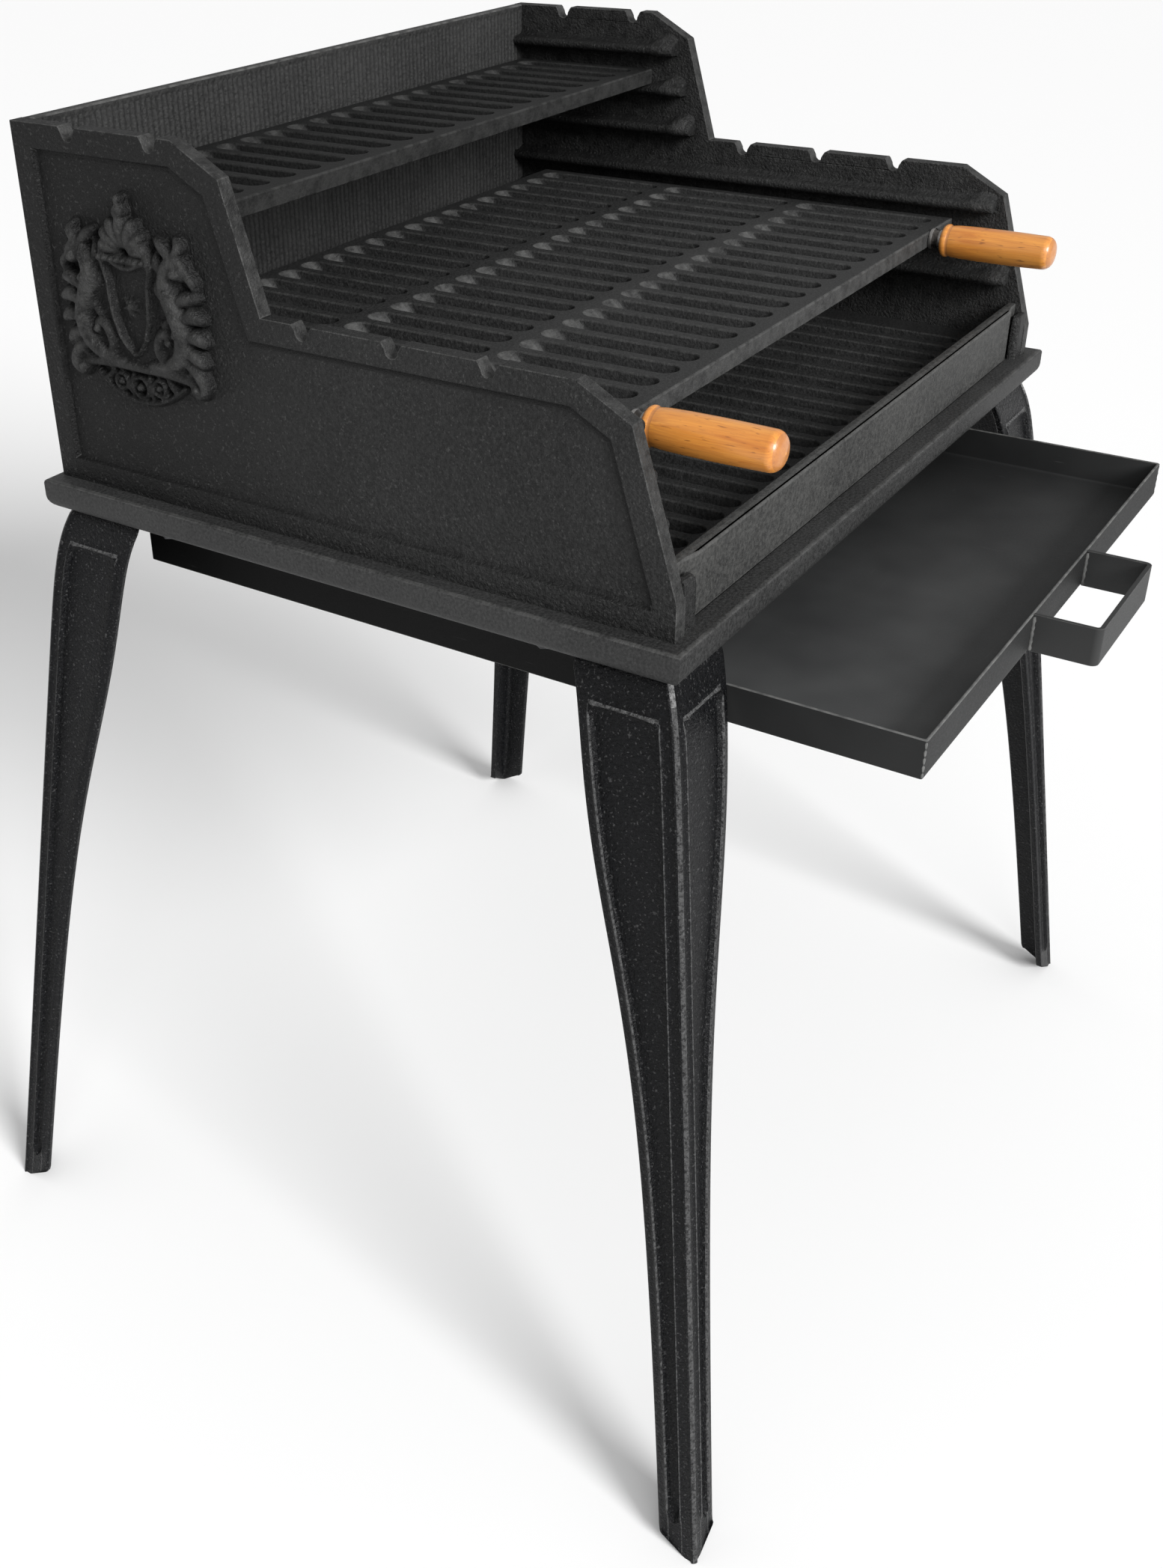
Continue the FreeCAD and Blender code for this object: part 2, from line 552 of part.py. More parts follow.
def make_guide(label, side):
    """A folded Z strip: a flange under the frame, a web, and a shelf under the tray."""
    body = new_body(label)
    face = new_sketch(body, "section", "XZ_Plane")
    under = "-Sizes.frame_height"
    shelf = f"{guide_shelf_top} - Sizes.guide_wall"
    outer = f"{guide_web} + Sizes.guide_wall"
    corners = [(outer, shelf), (outer, under), (guide_web, under), (guide_web, guide_shelf_top),
               (f"{guide_web} - Sizes.guide_shelf", guide_shelf_top),
               (f"{guide_web} - Sizes.guide_shelf", shelf)]
    add_outline(face, [(mirrored(side, across), up) for across, up in corners])
    pad(body, face, f"2 * {guide_half}", "web_and_shelf", centred=True)
    flange = new_sketch(body, "flange", "XZ_Plane")
    wing = [(guide_web, under), (guide_flange_end, under),
            (guide_flange_end, f"{under} - Sizes.guide_wall"),
            (guide_web, f"{under} - Sizes.guide_wall")]
    add_outline(flange, [(mirrored(side, across), up) for across, up in wing])
    pad(body, flange, f"2 * ({guide_half} - Sizes.guide_top_cutback)", "top_flange", centred=True)
    holes = new_sketch(body, "screw_holes", "XY_Plane", f"{under} - Sizes.guide_wall")
    for sign in (-1, 1):
        add_circle(holes, mirrored(side, guide_screw_x), mirrored(sign, guide_screw_y),
                   "Sizes.guide_screw_radius")
    pocket(body, holes, "Sizes.guide_wall", "screw_holes_cut", reverse=True)
    return place(body, label)


# ---------------------------------------------------------------------------------- legs
# shares of the leg's height, counted down from the frame, at which its section is drawn
LEG_LEVELS = (0, 0.015, 0.035, 0.08, 0.14, 0.2, 0.26, 0.32, 0.4, 0.5, 0.64, 0.82, 1)
SWELL = 0.09            # share of the splay that the leg gains just below the frame
SWELL_POWER = 30        # how soon below the frame that swell is complete
TAPER_LEVEL = 0.33      # where the leg has lost half of its extra width
TAPER_POWER = 3.2       # how suddenly it loses it


def leg_station(down):
    """The shares of the splay and of the extra width that a leg has at a level."""
    out = SWELL * (1 - (1 - down) ** SWELL_POWER) + (1 - SWELL) * down
    wide = 1 / (1 + (down / TAPER_LEVEL) ** TAPER_POWER)
    return round(out, 4), round(wide, 4)


def make_leg(label, side, end):
    """side and end are the signs of X and Y at the corner where the leg stands."""
    body = new_body(label)
    sections = []
    for number, down in enumerate(LEG_LEVELS):
        out, wide = leg_station(down)
        level = f"-Sizes.frame_height - {down} * Sizes.leg_height"
        across = f"({leg_ridge_x} + {out} * Sizes.leg_splay_side)"
        along = f"({leg_ridge_y} + {out} * Sizes.leg_splay_front)"
        spread = f"(Sizes.leg_foot_width + {wide} * (Sizes.leg_top_width - Sizes.leg_foot_width))"
        wall = "Sizes.leg_wall"
        corners = [(across, along), (f"{across} - {spread}", along),
                   (f"{across} - {spread}", f"{along} - {wall}"),
                   (f"{across} - {wall}", f"{along} - {wall}"),
                   (f"{across} - {wall}", f"{along} - {spread}"), (across, f"{along} - {spread}")]
        section = new_sketch(body, f"section_{number}", "XY_Plane", level)
        add_outline(section, [(mirrored(side, x), mirrored(end, y)) for x, y in corners])
        sections.append(section)
    doc.recompute()
    loft = body.newObject("PartDesign::AdditiveLoft", "loft")
    loft.Profile = sections[0]
    loft.Sections = sections[1:]
    loft.Ruled = True
    doc.recompute()
    plate = new_sketch(body, "pad_plan", "XY_Plane", "-Sizes.frame_height")
    near_x = f"({leg_ridge_x} - Sizes.leg_wall / 2)"
    near_y = f"({leg_ridge_y} - Sizes.leg_wall / 2)"
    far_x = f"({leg_ridge_x} - Sizes.leg_wall - Sizes.leg_pad)"
    far_y = f"({leg_ridge_y} - Sizes.leg_wall - Sizes.leg_pad)"
    add_outline(plate, [(mirrored(side, x), mirrored(end, y))
                        for x, y in ((near_x, near_y), (far_x, near_y), (far_x, far_y), (near_x, far_y))])
    pad(body, plate, "Sizes.leg_pad_height", "bolting_pad", reverse=True)
    hole = new_sketch(body, "bolt_hole", "XY_Plane", "-Sizes.frame_height")
    add_circle(hole, mirrored(side, bolt_x), mirrored(end, bolt_y), "Sizes.leg_bolt_radius")
    pocket(body, hole, "Sizes.leg_pad_height", "bolt_hole_cut")
    return place(body, label)


# ----------------------------------------------------------------------------- fasteners
def make_bolts(label, places, radius, length, head_face):
    """Hex-head bolts that point up, as one group of separate solids."""
    bolts = []
    for index, (across, along) in enumerate(places):
        head = doc.addObject("Part::Prism", f"{label}_head_{index}")
        head.Polygon = 6
        head.setExpression("Circumradius", f"1.85 * {radius}")
        head.setExpression("Height", f"1.3 * {radius}")
        head.setExpression("Placement.Base.z", f"{head_face} - 1.3 * {radius}")
        shank = doc.addObject("Part::Cylinder", f"{label}_shank_{index}")
        shank.setExpression("Radius", radius)
        shank.setExpression("Height", length)
        shank.setExpression("Placement.Base.z", head_face)
        for solid in (head, shank):
            solid.setExpression("Placement.Base.x", across)
            solid.setExpression("Placement.Base.y", along)
        bolt = doc.addObject("Part::Fuse", f"{label}_{index}")
        bolt.Base = head
        bolt.Tool = shank
        bolts.append(bolt)
    group = doc.addObject("Part::Compound", label)
    group.Links = bolts
    return place(group, label)


def make_washers(label, places, radius, top_face):
    """Plain washers, as one group of separate solids."""
    washers = []
    for index, (across, along) in enumerate(places):
        disc = doc.addObject("Part::Cylinder", f"{label}_disc_{index}")
        disc.setExpression("Radius", f"2.1 * {radius}")
        bore = doc.addObject("Part::Cylinder", f"{label}_bore_{index}")
        bore.setExpression("Radius", radius)
        for solid in (disc, bore):
            solid.setExpression("Height", "Sizes.washer_wall")
            solid.setExpression("Placement.Base.x", across)
            solid.setExpression("Placement.Base.y", along)
            solid.setExpression("Placement.Base.z", f"{top_face} - Sizes.washer_wall")
        washer = doc.addObject("Part::Cut", f"{label}_{index}")
        washer.Base = disc
        washer.Tool = bore
        washers.append(washer)
    group = doc.addObject("Part::Compound", label)
    group.Links = washers
    return place(group, label)


# ------------------------------------------------------------------------------ assembly
make_base_frame()
make_side_plate("side_plate_left", -1)
make_side_plate("side_plate_right", 1)
make_cross_plate("back_plate", back_inner, plate_rear, "Sizes.plate_rear_height")
make_cross_plate("front_plate", front_outer, front_inner, "Sizes.front_height")

make_grate("fire_grate", f"({front_inner} + 2 * Sizes.seat_gap)", f"({back_inner} - 2 * Sizes.seat_gap)",
           "0", "Sizes.fire_grate_height", 2, f"({plate_inner} - 2 * Sizes.seat_gap)",
           "Sizes.fire_slot_width", "Sizes.fire_slot_pitch",
           ("Sizes.fire_rail", "Sizes.fire_rail", "Sizes.fire_rail", "Sizes.grate_rib"))
rails = ("Sizes.grate_side_rail", "Sizes.grate_front_rail", "Sizes.grate_rear_rail", "Sizes.grate_rib")
make_grate("cooking_grate", cooking_front, cooking_rear, cooking_floor, "Sizes.grate_height", 3,
           grate_side, "Sizes.slot_width", "Sizes.slot_pitch", rails)
make_grate("warming_grate", f"({warming_rear} - Sizes.warming_depth)", warming_rear, warming_floor,
           "Sizes.grate_height", 1, grate_side, "Sizes.slot_width", "Sizes.slot_pitch", rails)

for hand, side in (("left", -1), ("right", 1)):
    make_grip(f"handle_grip_{hand}", side)
    make_ferrule(f"handle_ferrule_{hand}", side)
    make_stud(f"handle_stud_{hand}", side)
    make_guide(f"tray_guide_{hand}", side)
    make_leg(f"leg_front_{hand}", side, -1)
    make_leg(f"leg_rear_{hand}", side, 1)

make_ash_tray()
make_tray_handle()

corners = [(mirrored(side, bolt_x), mirrored(end, bolt_y)) for side in (-1, 1) for end in (-1, 1)]
leg_face = "(-Sizes.frame_height - Sizes.leg_pad_height)"
make_washers("leg_washers", corners, "Sizes.leg_bolt_radius", leg_face)
make_bolts("leg_bolts", corners, "Sizes.leg_bolt_radius", "Sizes.leg_bolt_length",
           f"({leg_face} - Sizes.washer_wall)")
make_washers("plate_washers", plate_bolt_places(), "Sizes.plate_bolt_radius", "-Sizes.frame_height")
make_bolts("plate_bolts", plate_bolt_places(), "Sizes.plate_bolt_radius", "Sizes.plate_bolt_length",
           "(-Sizes.frame_height - Sizes.washer_wall)")
guide_places = [(mirrored(side, guide_screw_x), mirrored(sign, guide_screw_y))
                for side in (-1, 1) for sign in (-1, 1)]
make_bolts("guide_screws", guide_places, "Sizes.guide_screw_radius",
           "Sizes.guide_screw_length", "(-Sizes.frame_height - Sizes.guide_wall)")

# -------------------------------------------------------------------- checks and export
doc.recompute()
for item in doc.Objects:
    if "Invalid" in item.State or "Error" in item.State:
        raise RuntimeError(f"{item.Label} did not build: {item.State}")
for piece in finished:
    if piece.Shape.isNull() or not piece.Shape.isValid():
        raise RuntimeError(f"{piece.Label} has no valid shape")

os.makedirs("parts", exist_ok=True)
for piece in finished:
    piece.Shape.exportStep(f"parts/{piece.Label}.step")
    box = piece.Shape.BoundBox
    print(f"{piece.Label:22s} solids {len(piece.Shape.Solids)}  volume {piece.Shape.Volume:12.1f}"
          f"  x {box.XMin:8.2f} {box.XMax:8.2f}  y {box.YMin:8.2f} {box.YMax:8.2f}"
          f"  z {box.ZMin:8.2f} {box.ZMax:8.2f}")
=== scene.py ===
from math import cos, exp, hypot, pi, radians, sin

import bpy
import bmesh
import numpy as np
from mathutils import Matrix, Vector, geometry


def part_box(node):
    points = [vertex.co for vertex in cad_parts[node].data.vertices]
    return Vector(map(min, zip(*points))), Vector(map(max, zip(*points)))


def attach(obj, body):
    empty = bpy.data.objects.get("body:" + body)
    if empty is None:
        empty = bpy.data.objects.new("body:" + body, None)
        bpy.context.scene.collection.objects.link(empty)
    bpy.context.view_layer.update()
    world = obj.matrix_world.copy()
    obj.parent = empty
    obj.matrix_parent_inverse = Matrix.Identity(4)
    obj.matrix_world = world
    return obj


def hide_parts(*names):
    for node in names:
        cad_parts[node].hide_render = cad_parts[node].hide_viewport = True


# A cast-iron garden grill in its looks, dressed round the CAD frame. Lengths are in millimetres until
# as_object turns them to metres. Up is Z, the cook stands at -Y and "left" is at -X.

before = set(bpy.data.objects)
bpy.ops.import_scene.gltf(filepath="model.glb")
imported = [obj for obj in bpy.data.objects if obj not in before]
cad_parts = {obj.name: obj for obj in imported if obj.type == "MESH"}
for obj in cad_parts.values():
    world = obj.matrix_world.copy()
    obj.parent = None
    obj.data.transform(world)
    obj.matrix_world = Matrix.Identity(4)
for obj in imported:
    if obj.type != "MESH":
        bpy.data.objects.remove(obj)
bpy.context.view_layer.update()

MM = 0.001


def corners(node):
    """A CAD node's lowest and highest corners, in millimetres."""
    low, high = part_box(node)
    return Vector(low) / MM, Vector(high) / MM


# ---- mesh building
class Shell:
    """Points and faces of one piece, in millimetres, with a value for each face: wear and painted highlights
    above zero, painted shade below zero.
    """

    def __init__(self):
        self.points = []
        self.faces = []
        self.wear = []

    def ring(self, points):
        start = len(self.points)
        self.points.extend(Vector(point) for point in points)
        return list(range(start, len(self.points)))

    def face(self, indices, wear=0.0):
        self.faces.append(tuple(indices))
        self.wear.append(wear)

    def skin(self, first, second, closed=True, wear=0.0):
        """Quads between two rows of the same length."""
        count = len(first)
        for index in range(count if closed else count - 1):
            after = (index + 1) % count
            self.face((first[index], first[after], second[after], second[index]), wear)

    def skins(self, rings, wear=0.0, rubbed=(), rub=0.0, closed=True, around=False):
        """Skins from ring to ring; the numbered ones take the other value, which marks wear and painted
        highlights.
        """
        following = rings[1:] + rings[:1] if around else rings[1:]
        for number, (first, second) in enumerate(zip(rings, following)):
            self.skin(first, second, closed, rub if number in rubbed else wear)

    def sheet(self, *loops, wear=0.0):
        """A flat face with holes: the first loop is its outline."""
        flat = [index for loop in loops for index in loop]
        lines = [[self.points[index] for index in loop] for loop in loops]
        for triangle in geometry.tessellate_polygon(lines):
            self.face([flat[corner] for corner in triangle], wear)

    def tube(self, rings, **worn_and_lit):
        """A closed solid: skins from ring to ring and a flat face over each end."""
        self.skins(rings, **worn_and_lit)
        self.sheet(rings[0])
        self.sheet(rings[-1])

    def quads(self, first, second, wear_of):
        """A closed skin whose faces each take the value for wear, painted highlights and painted shade that
        the given function gives for (index, start, end).
        """
        for index in range(len(first)):
            after = (index + 1) % len(first)
            wear = wear_of(index, self.points[first[index]], self.points[first[after]])
            self.face((first[index], first[after], second[after], second[index]), wear)


def as_object(name, shell, material, bevel=0.0, segments=2, sharp=35.0, rub=0.5):
    """A finished mesh: closed, facing out, its edges rounded and marked as worn."""
    mesh = bpy.data.meshes.new(name)
    mesh.from_pydata([point * MM for point in shell.points], [], shell.faces)
    mesh.attributes.new("wear", "FLOAT", "FACE").data.foreach_set("value", shell.wear)
    tidy = bmesh.new()
    tidy.from_mesh(mesh)
    bmesh.ops.remove_doubles(tidy, verts=tidy.verts, dist=0.004 * MM)
    bmesh.ops.recalc_face_normals(tidy, faces=tidy.faces)
    tidy.to_mesh(mesh)
    tidy.free()
    piece = bpy.data.objects.new(name, mesh)
    bpy.context.collection.objects.link(piece)
    if bevel:
        for _ in range(2):
            mesh.materials.append(material)
        rounder = piece.modifiers.new("round", "BEVEL")
        rounder.width = bevel * MM
        rounder.segments = segments
        rounder.limit_method = "ANGLE"
        rounder.angle_limit = radians(sharp)
        rounder.material = 1
        rounder.use_clamp_overlap = True
        depsgraph = bpy.context.evaluated_depsgraph_get()
        shaped = bpy.data.meshes.new_from_object(piece.evaluated_get(depsgraph))
        piece.modifiers.clear()
        piece.data = shaped
        bpy.data.meshes.remove(mesh)
        mesh = shaped
        wear = mesh.attributes["wear"].data
        for polygon in mesh.polygons:
            if polygon.material_index == 1:
                wear[polygon.index].value = rub
                polygon.material_index = 0
        mesh.materials.clear()
    mesh.name = name
    mesh.materials.append(material)
    mesh.polygons.foreach_set("use_smooth", [True] * len(mesh.polygons))
    mesh.set_sharp_from_angle(angle=radians(50))
    weighted = piece.modifiers.new("even_normals", "WEIGHTED_NORMAL")
    weighted.keep_sharp = True
    weighted.weight = 100
    return piece


def fit(name, shell, material, body="grill", slot="cast_body", nodes=(), **finish):
    """Make a piece, ride it on its body and let it stand for CAD nodes."""
    piece = as_object(name, shell, material, **finish)
    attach(piece, body)
    if nodes:
        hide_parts(*nodes)
    return piece


def inset(points, distance):
    """A closed outline of 2D points moved inward, mitred at its corners."""
    area = sum(a[0] * b[1] - b[0] * a[1] for a, b in zip(points, points[1:] + points[:1]))
    turn = 1 if area > 0 else -1
    moved = []
    places = [Vector(point) for point in points]
    for before, here, after in zip(places[-1:] + places, places, places[1:] + places[:1]):
        first = (here - before).normalized()
        second = (after - here).normalized()
        normal = Vector((-first.y, first.x)) * turn
        miter = (normal + Vector((-second.y, second.x)) * turn).normalized()
        moved.append(tuple(here + miter * (distance / max(0.3, miter.dot(normal)))))
    return moved


def arc(centre, radius, start, end, steps):
    """Points on an arc, angles in degrees."""
    points = []
    for step in range(steps + 1):
        angle = radians(start + (end - start) * step / steps)
        points.append((centre[0] + radius * cos(angle), centre[1] + radius * sin(angle)))
    return points


def round_rectangle(x0, x1, y0, y1, radius):
    """A closed outline with rounded corners."""
    return (arc((x1 - radius, y1 - radius), radius, 0, 90, 3)
            + arc((x0 + radius, y1 - radius), radius, 90, 180, 3)
            + arc((x0 + radius, y0 + radius), radius, 180, 270, 3)
            + arc((x1 - radius, y0 + radius), radius, 270, 360, 3))


def prism(shell, outline, near, far, place=lambda *point: point):
    """A closed solid: outline swept from near to far, with place(u, v, depth) its point."""
    shell.tube([shell.ring([place(u, v, depth) for u, v in outline]) for depth in (near, far)])


def smooth_path(points, steps):
    """Catmull-Rom points through rows of numbers of any length."""
    rows = [Vector(point) for point in points]
    padded = [rows[0] * 2 - rows[1]] + rows + [rows[-1] * 2 - rows[-2]]
    path = []
    for a, b, c, d in zip(padded, padded[1:], padded[2:], padded[3:]):
        for step in range(steps):
            t = step / steps
            path.append(0.5 * (2 * b + (c - a) * t + (2 * a - 5 * b + 4 * c - d) * t * t
                               + (3 * b - a - 3 * c + d) * t * t * t))
    path.append(rows[-1])
    return path


# ---- materials
class Nodes:
    """Short names for the shader nodes that the materials share."""

    def __init__(self, name):
        self.material = bpy.data.materials.new(name)
        self.material.use_nodes = True
        self.tree = self.material.node_tree
        self.shader = self.tree.nodes["Principled BSDF"]
        self.place = self.tree.nodes.new("ShaderNodeTexCoord").outputs["Object"]

    def link(self, source, target):
        self.tree.links.new(source, target)

    def add(self, kind, **inputs):
        """The outputs of a new node whose inputs are numbers or links."""
        node = self.tree.nodes.new(f"ShaderNode{kind}")
        for socket, given in inputs.items():
            if isinstance(given, bpy.types.NodeSocket):
                self.link(given, node.inputs[socket])
            else:
                node.inputs[socket].default_value = given
        return node.outputs

    def split(self):
        """The object coordinates, in metres, as X, Y and Z."""
        return self.add("SeparateXYZ", Vector=self.place)

    def stretched(self, scale):
        return self.add("Mapping", Scale=scale, Vector=self.place)["Vector"]

    def noise(self, size_mm, detail=3.0, rough=0.55, vector=None, distortion=0.0):
        return self.add("TexNoise", Scale=1000.0 / size_mm, Detail=detail, Roughness=rough,
                        Distortion=distortion, Vector=vector or self.place)["Fac"]

    def ramp(self, source, low, high, out_low=0.0, out_high=1.0):
        limits = {"From Min": low, "From Max": high, "To Min": out_low, "To Max": out_high}
        return self.add("MapRange", Value=source, **limits)["Result"]

    def math(self, kind, first, second):
        node = self.tree.nodes.new("ShaderNodeMath")
        node.operation = kind
        node.use_clamp = True
        for socket, given in zip(node.inputs, (first, second)):
            if isinstance(given, (int, float)):
                socket.default_value = given
            else:
                self.link(given, socket)
        return node.outputs["Value"]

    def mix(self, share, first, second):
        node = self.tree.nodes.new("ShaderNodeMix")
        node.data_type = "RGBA"
        for socket, given in (("Factor", share), ("A", first), ("B", second)):
            kind = "VALUE" if socket == "Factor" else "RGBA"
            target = next(i for i in node.inputs if i.name == socket and i.type == kind)
            if isinstance(given, tuple):
                target.default_value = (*given, 1.0)
            else:
                self.link(given, target)
        return next(o for o in node.outputs if o.type == "RGBA")

    def wear(self):
        node = self.tree.nodes.new("ShaderNodeAttribute")
        node.attribute_name = "wear"
        return node.outputs["Fac"]

    def bump(self, height, depth_mm, strength=1.0, below=None):
        under = {"Normal": below} if below else {}
        return self.add("Bump", Distance=depth_mm * MM, Strength=strength, Height=height, **under)["Normal"]

    def finish(self, color, roughness, normal, **settings):
        self.link(color, self.shader.inputs["Base Color"])
        self.link(roughness, self.shader.inputs["Roughness"])
        self.link(normal, self.shader.inputs["Normal"])
        for socket, number in settings.items():
            self.shader.inputs[socket.replace("_", " ")].default_value = number
        return self.material


def cast_iron(name, dark, light, worn_and_lit, roughness, grain_mm, relief, glint_speckle, gloss=0.28, fleck_mm=9.0,
              rear_darkening=0.0):
    """Sand-cast iron: coarse grain, soft unevenness, dusty patches, light specks and worn edges; the grain's
    contrast in the colour is partly painted glints and the light specks are painted glints.

    A face's value above zero shows worn metal and, on some faces, painted highlights; below zero it shows
    painted shade. The last number darkens the colour towards the rear."""
    n = Nodes(name)
    grain = n.noise(grain_mm, 3.0, 0.6)
    fine = n.noise(grain_mm * 0.4, 2.0, 0.5)
    patches = n.noise(95.0, 4.0, 0.6, distortion=0.4)
    swell = n.noise(22.0, 2.0, 0.5)
    # the grain's light and dark in the colour are partly the iron's own grain and partly painted glints
    share = n.math("ADD", n.math("MULTIPLY", n.ramp(grain, 0.36, 0.66), 0.8),
                   n.math("MULTIPLY", n.ramp(patches, 0.42, 0.72), 0.35))
    color = n.mix(share, dark, light)
    # darker towards the rear of the grill
    if rear_darkening:
        color = n.mix(n.ramp(n.split()["Y"], 0.02, 0.20, 0.0, rear_darkening), color, (0.002, 0.002, 0.002))
    # light specks: painted glints
    glint_specks = n.math("MULTIPLY", n.ramp(n.noise(1.7, 1.0, 0.4), 0.64, 0.72), glint_speckle)
    color = n.mix(glint_specks, color, worn_and_lit)
    # a positive face value lightens worn edges and, on some faces, paints highlights
    wear = n.wear()
    edge = n.math("MULTIPLY", wear, n.ramp(n.noise(fleck_mm, 4.0, 0.65), 0.36, 0.60, 0.1, 0.9))
    color = n.mix(edge, color, worn_and_lit)
    # a negative face value darkens the colour: painted shade
    color = n.mix(n.math("MULTIPLY", wear, -1.0), color, (0.0004, 0.0004, 0.0004))
    rough = n.ramp(n.math("ADD", n.math("MULTIPLY", grain, 0.7), n.math("MULTIPLY", patches, 0.3)),
                   0.3, 0.7, roughness - 0.1, roughness + 0.12)
    normal = n.bump(swell, 1.6, 0.6)
    normal = n.bump(grain, relief, 1.0, normal)
    normal = n.bump(fine, relief * 0.35, 0.8, normal)
    return n.finish(color, rough, normal, Specular_IOR_Level=gloss)


def sheet_steel(name, lightness, gloss, painted_shade_share):
    """Satin black sheet with faint long scratches and scuffed edges, and painted shade that darkens it to the
    right and rear.
    """
    n = Nodes(name)
    scratches = n.noise(1.4, 2.0, 0.5, n.stretched((1.0, 0.035, 1.0)), 0.6)
    cross = n.noise(1.8, 2.0, 0.5, n.stretched((0.03, 1.0, 1.0)), 0.8)
    cloud = n.noise(140.0, 3.0, 0.6)
    fine = n.noise(0.9, 3.0, 0.6)
    color = n.mix(n.ramp(cloud, 0.35, 0.7), tuple(lightness * part for part in (0.0125, 0.0128, 0.013)),
                  tuple(lightness * part for part in (0.022, 0.0225, 0.0225)))
    far = n.split()
    # painted shade: darker to the right and towards the rear
    painted_shade = n.math("ADD", n.ramp(far["X"], -0.20, 0.20, 0.0, 0.55), n.ramp(far["Y"], -0.33, -0.08, 0.0, 0.45))
    color = n.mix(n.math("MULTIPLY", painted_shade, painted_shade_share), color, (0.003, 0.003, 0.003))
    lines = n.math("ADD", n.ramp(scratches, 0.72, 0.82, 0.0, 0.35), n.ramp(cross, 0.74, 0.84, 0.0, 0.25))
    color = n.mix(lines, color, (0.10, 0.10, 0.10))
    wear = n.wear()
    edge = n.math("MULTIPLY", wear, n.ramp(n.noise(7.0, 3.0, 0.6), 0.35, 0.65, 0.2, 0.9))
    color = n.mix(edge, color, (0.16, 0.16, 0.155))
    # a negative face value darkens the colour: painted shade on the tray's outer walls
    color = n.mix(n.math("MULTIPLY", wear, -1.0), color, (0.003, 0.003, 0.003))
    rough = n.ramp(fine, 0.3, 0.7, 0.5, 0.66)
    normal = n.bump(fine, 0.06, 0.6, n.bump(cloud, 1.5, 0.35))
    return n.finish(color, rough, normal, Specular_IOR_Level=gloss)


def dark_steel(name, tint, roughness):
    """Blackened turned steel with fine turning marks and a few bright rubs."""
    n = Nodes(name)
    marks = n.noise(0.9, 2.0, 0.5, n.stretched((0.4, 1.0, 0.4)))
    rubs = n.noise(6.0, 4.0, 0.6)
    color = n.mix(n.ramp(rubs, 0.5, 0.72), tint, tuple(3.2 * part for part in tint))
    edge = n.math("MULTIPLY", n.wear(), 0.7)
    color = n.mix(edge, color, (0.35, 0.34, 0.33))
    rough = n.ramp(rubs, 0.3, 0.7, roughness - 0.08, roughness + 0.1)
    return n.finish(color, rough, n.bump(marks, 0.08, 0.6), Metallic=0.85)


def varnished_beech(name):
    """Turned beech under clear varnish: long grain, short dark flecks and a darker end."""
    n = Nodes(name)
    along = n.stretched((1.0, 0.06, 1.0))
    bands = n.noise(5.5, 4.0, 0.6, along, 1.2)
    fibre = n.noise(0.8, 3.0, 0.6, n.stretched((1.0, 0.03, 1.0)), 0.2)
    flecks = n.noise(1.3, 1.0, 0.4, n.stretched((1.0, 0.16, 1.0)))
    tone = n.noise(38.0, 2.0, 0.5)
    color = n.mix(n.ramp(bands, 0.3, 0.7), (0.68, 0.28, 0.048), (0.44, 0.135, 0.02))
    color = n.mix(n.ramp(tone, 0.35, 0.7, 0.0, 0.45), color, (0.66, 0.30, 0.07))
    color = n.mix(n.ramp(fibre, 0.45, 0.75, 0.0, 0.5), color, (0.33, 0.12, 0.03))
    color = n.mix(n.ramp(flecks, 0.66, 0.76, 0.0, 0.7), color, (0.16, 0.055, 0.016))
    color = n.mix(n.math("MULTIPLY", n.wear(), 0.6), color, (0.30, 0.12, 0.04))
    rough = n.ramp(fibre, 0.3, 0.7, 0.30, 0.42)
    normal = n.bump(fibre, 0.10, 0.5, n.bump(bands, 0.25, 0.4))
    return n.finish(color, rough, normal, Coat_Weight=0.35, Coat_Roughness=0.18)


IRON_DARK = (0.0055, 0.0056, 0.0056)
IRON_LIGHT = (0.0215, 0.0217, 0.0215)
IRON_WORN_AND_LIT = (0.085, 0.085, 0.083)
body_iron = cast_iron("cast_iron_body", (0.009, 0.0091, 0.0091), (0.029, 0.029, 0.0285), IRON_WORN_AND_LIT,
                      0.60, 2.0, 0.6, 0.16)
plate_iron = cast_iron("cast_iron_plate", IRON_DARK, IRON_LIGHT, (0.10, 0.10, 0.098), 0.56, 2.2, 1.5, 0.22,
                       0.22, 9.0, 0.9)
front_iron = cast_iron("cast_iron_front", (0.016, 0.0162, 0.0160), (0.052, 0.052, 0.050), IRON_WORN_AND_LIT,
                       0.62, 2.4, 0.6, 0.10)
frame_iron = cast_iron("cast_iron_frame", (0.0105, 0.0106, 0.0106), (0.036, 0.0362, 0.036), IRON_WORN_AND_LIT,
                       0.62, 2.0, 0.6, 0.10)
grate_iron = cast_iron("cast_iron_grate", (0.007, 0.0071, 0.0071), (0.0245, 0.0247, 0.0245),
                       (0.095, 0.095, 0.093), 0.62, 2.0, 0.6, 0.12)
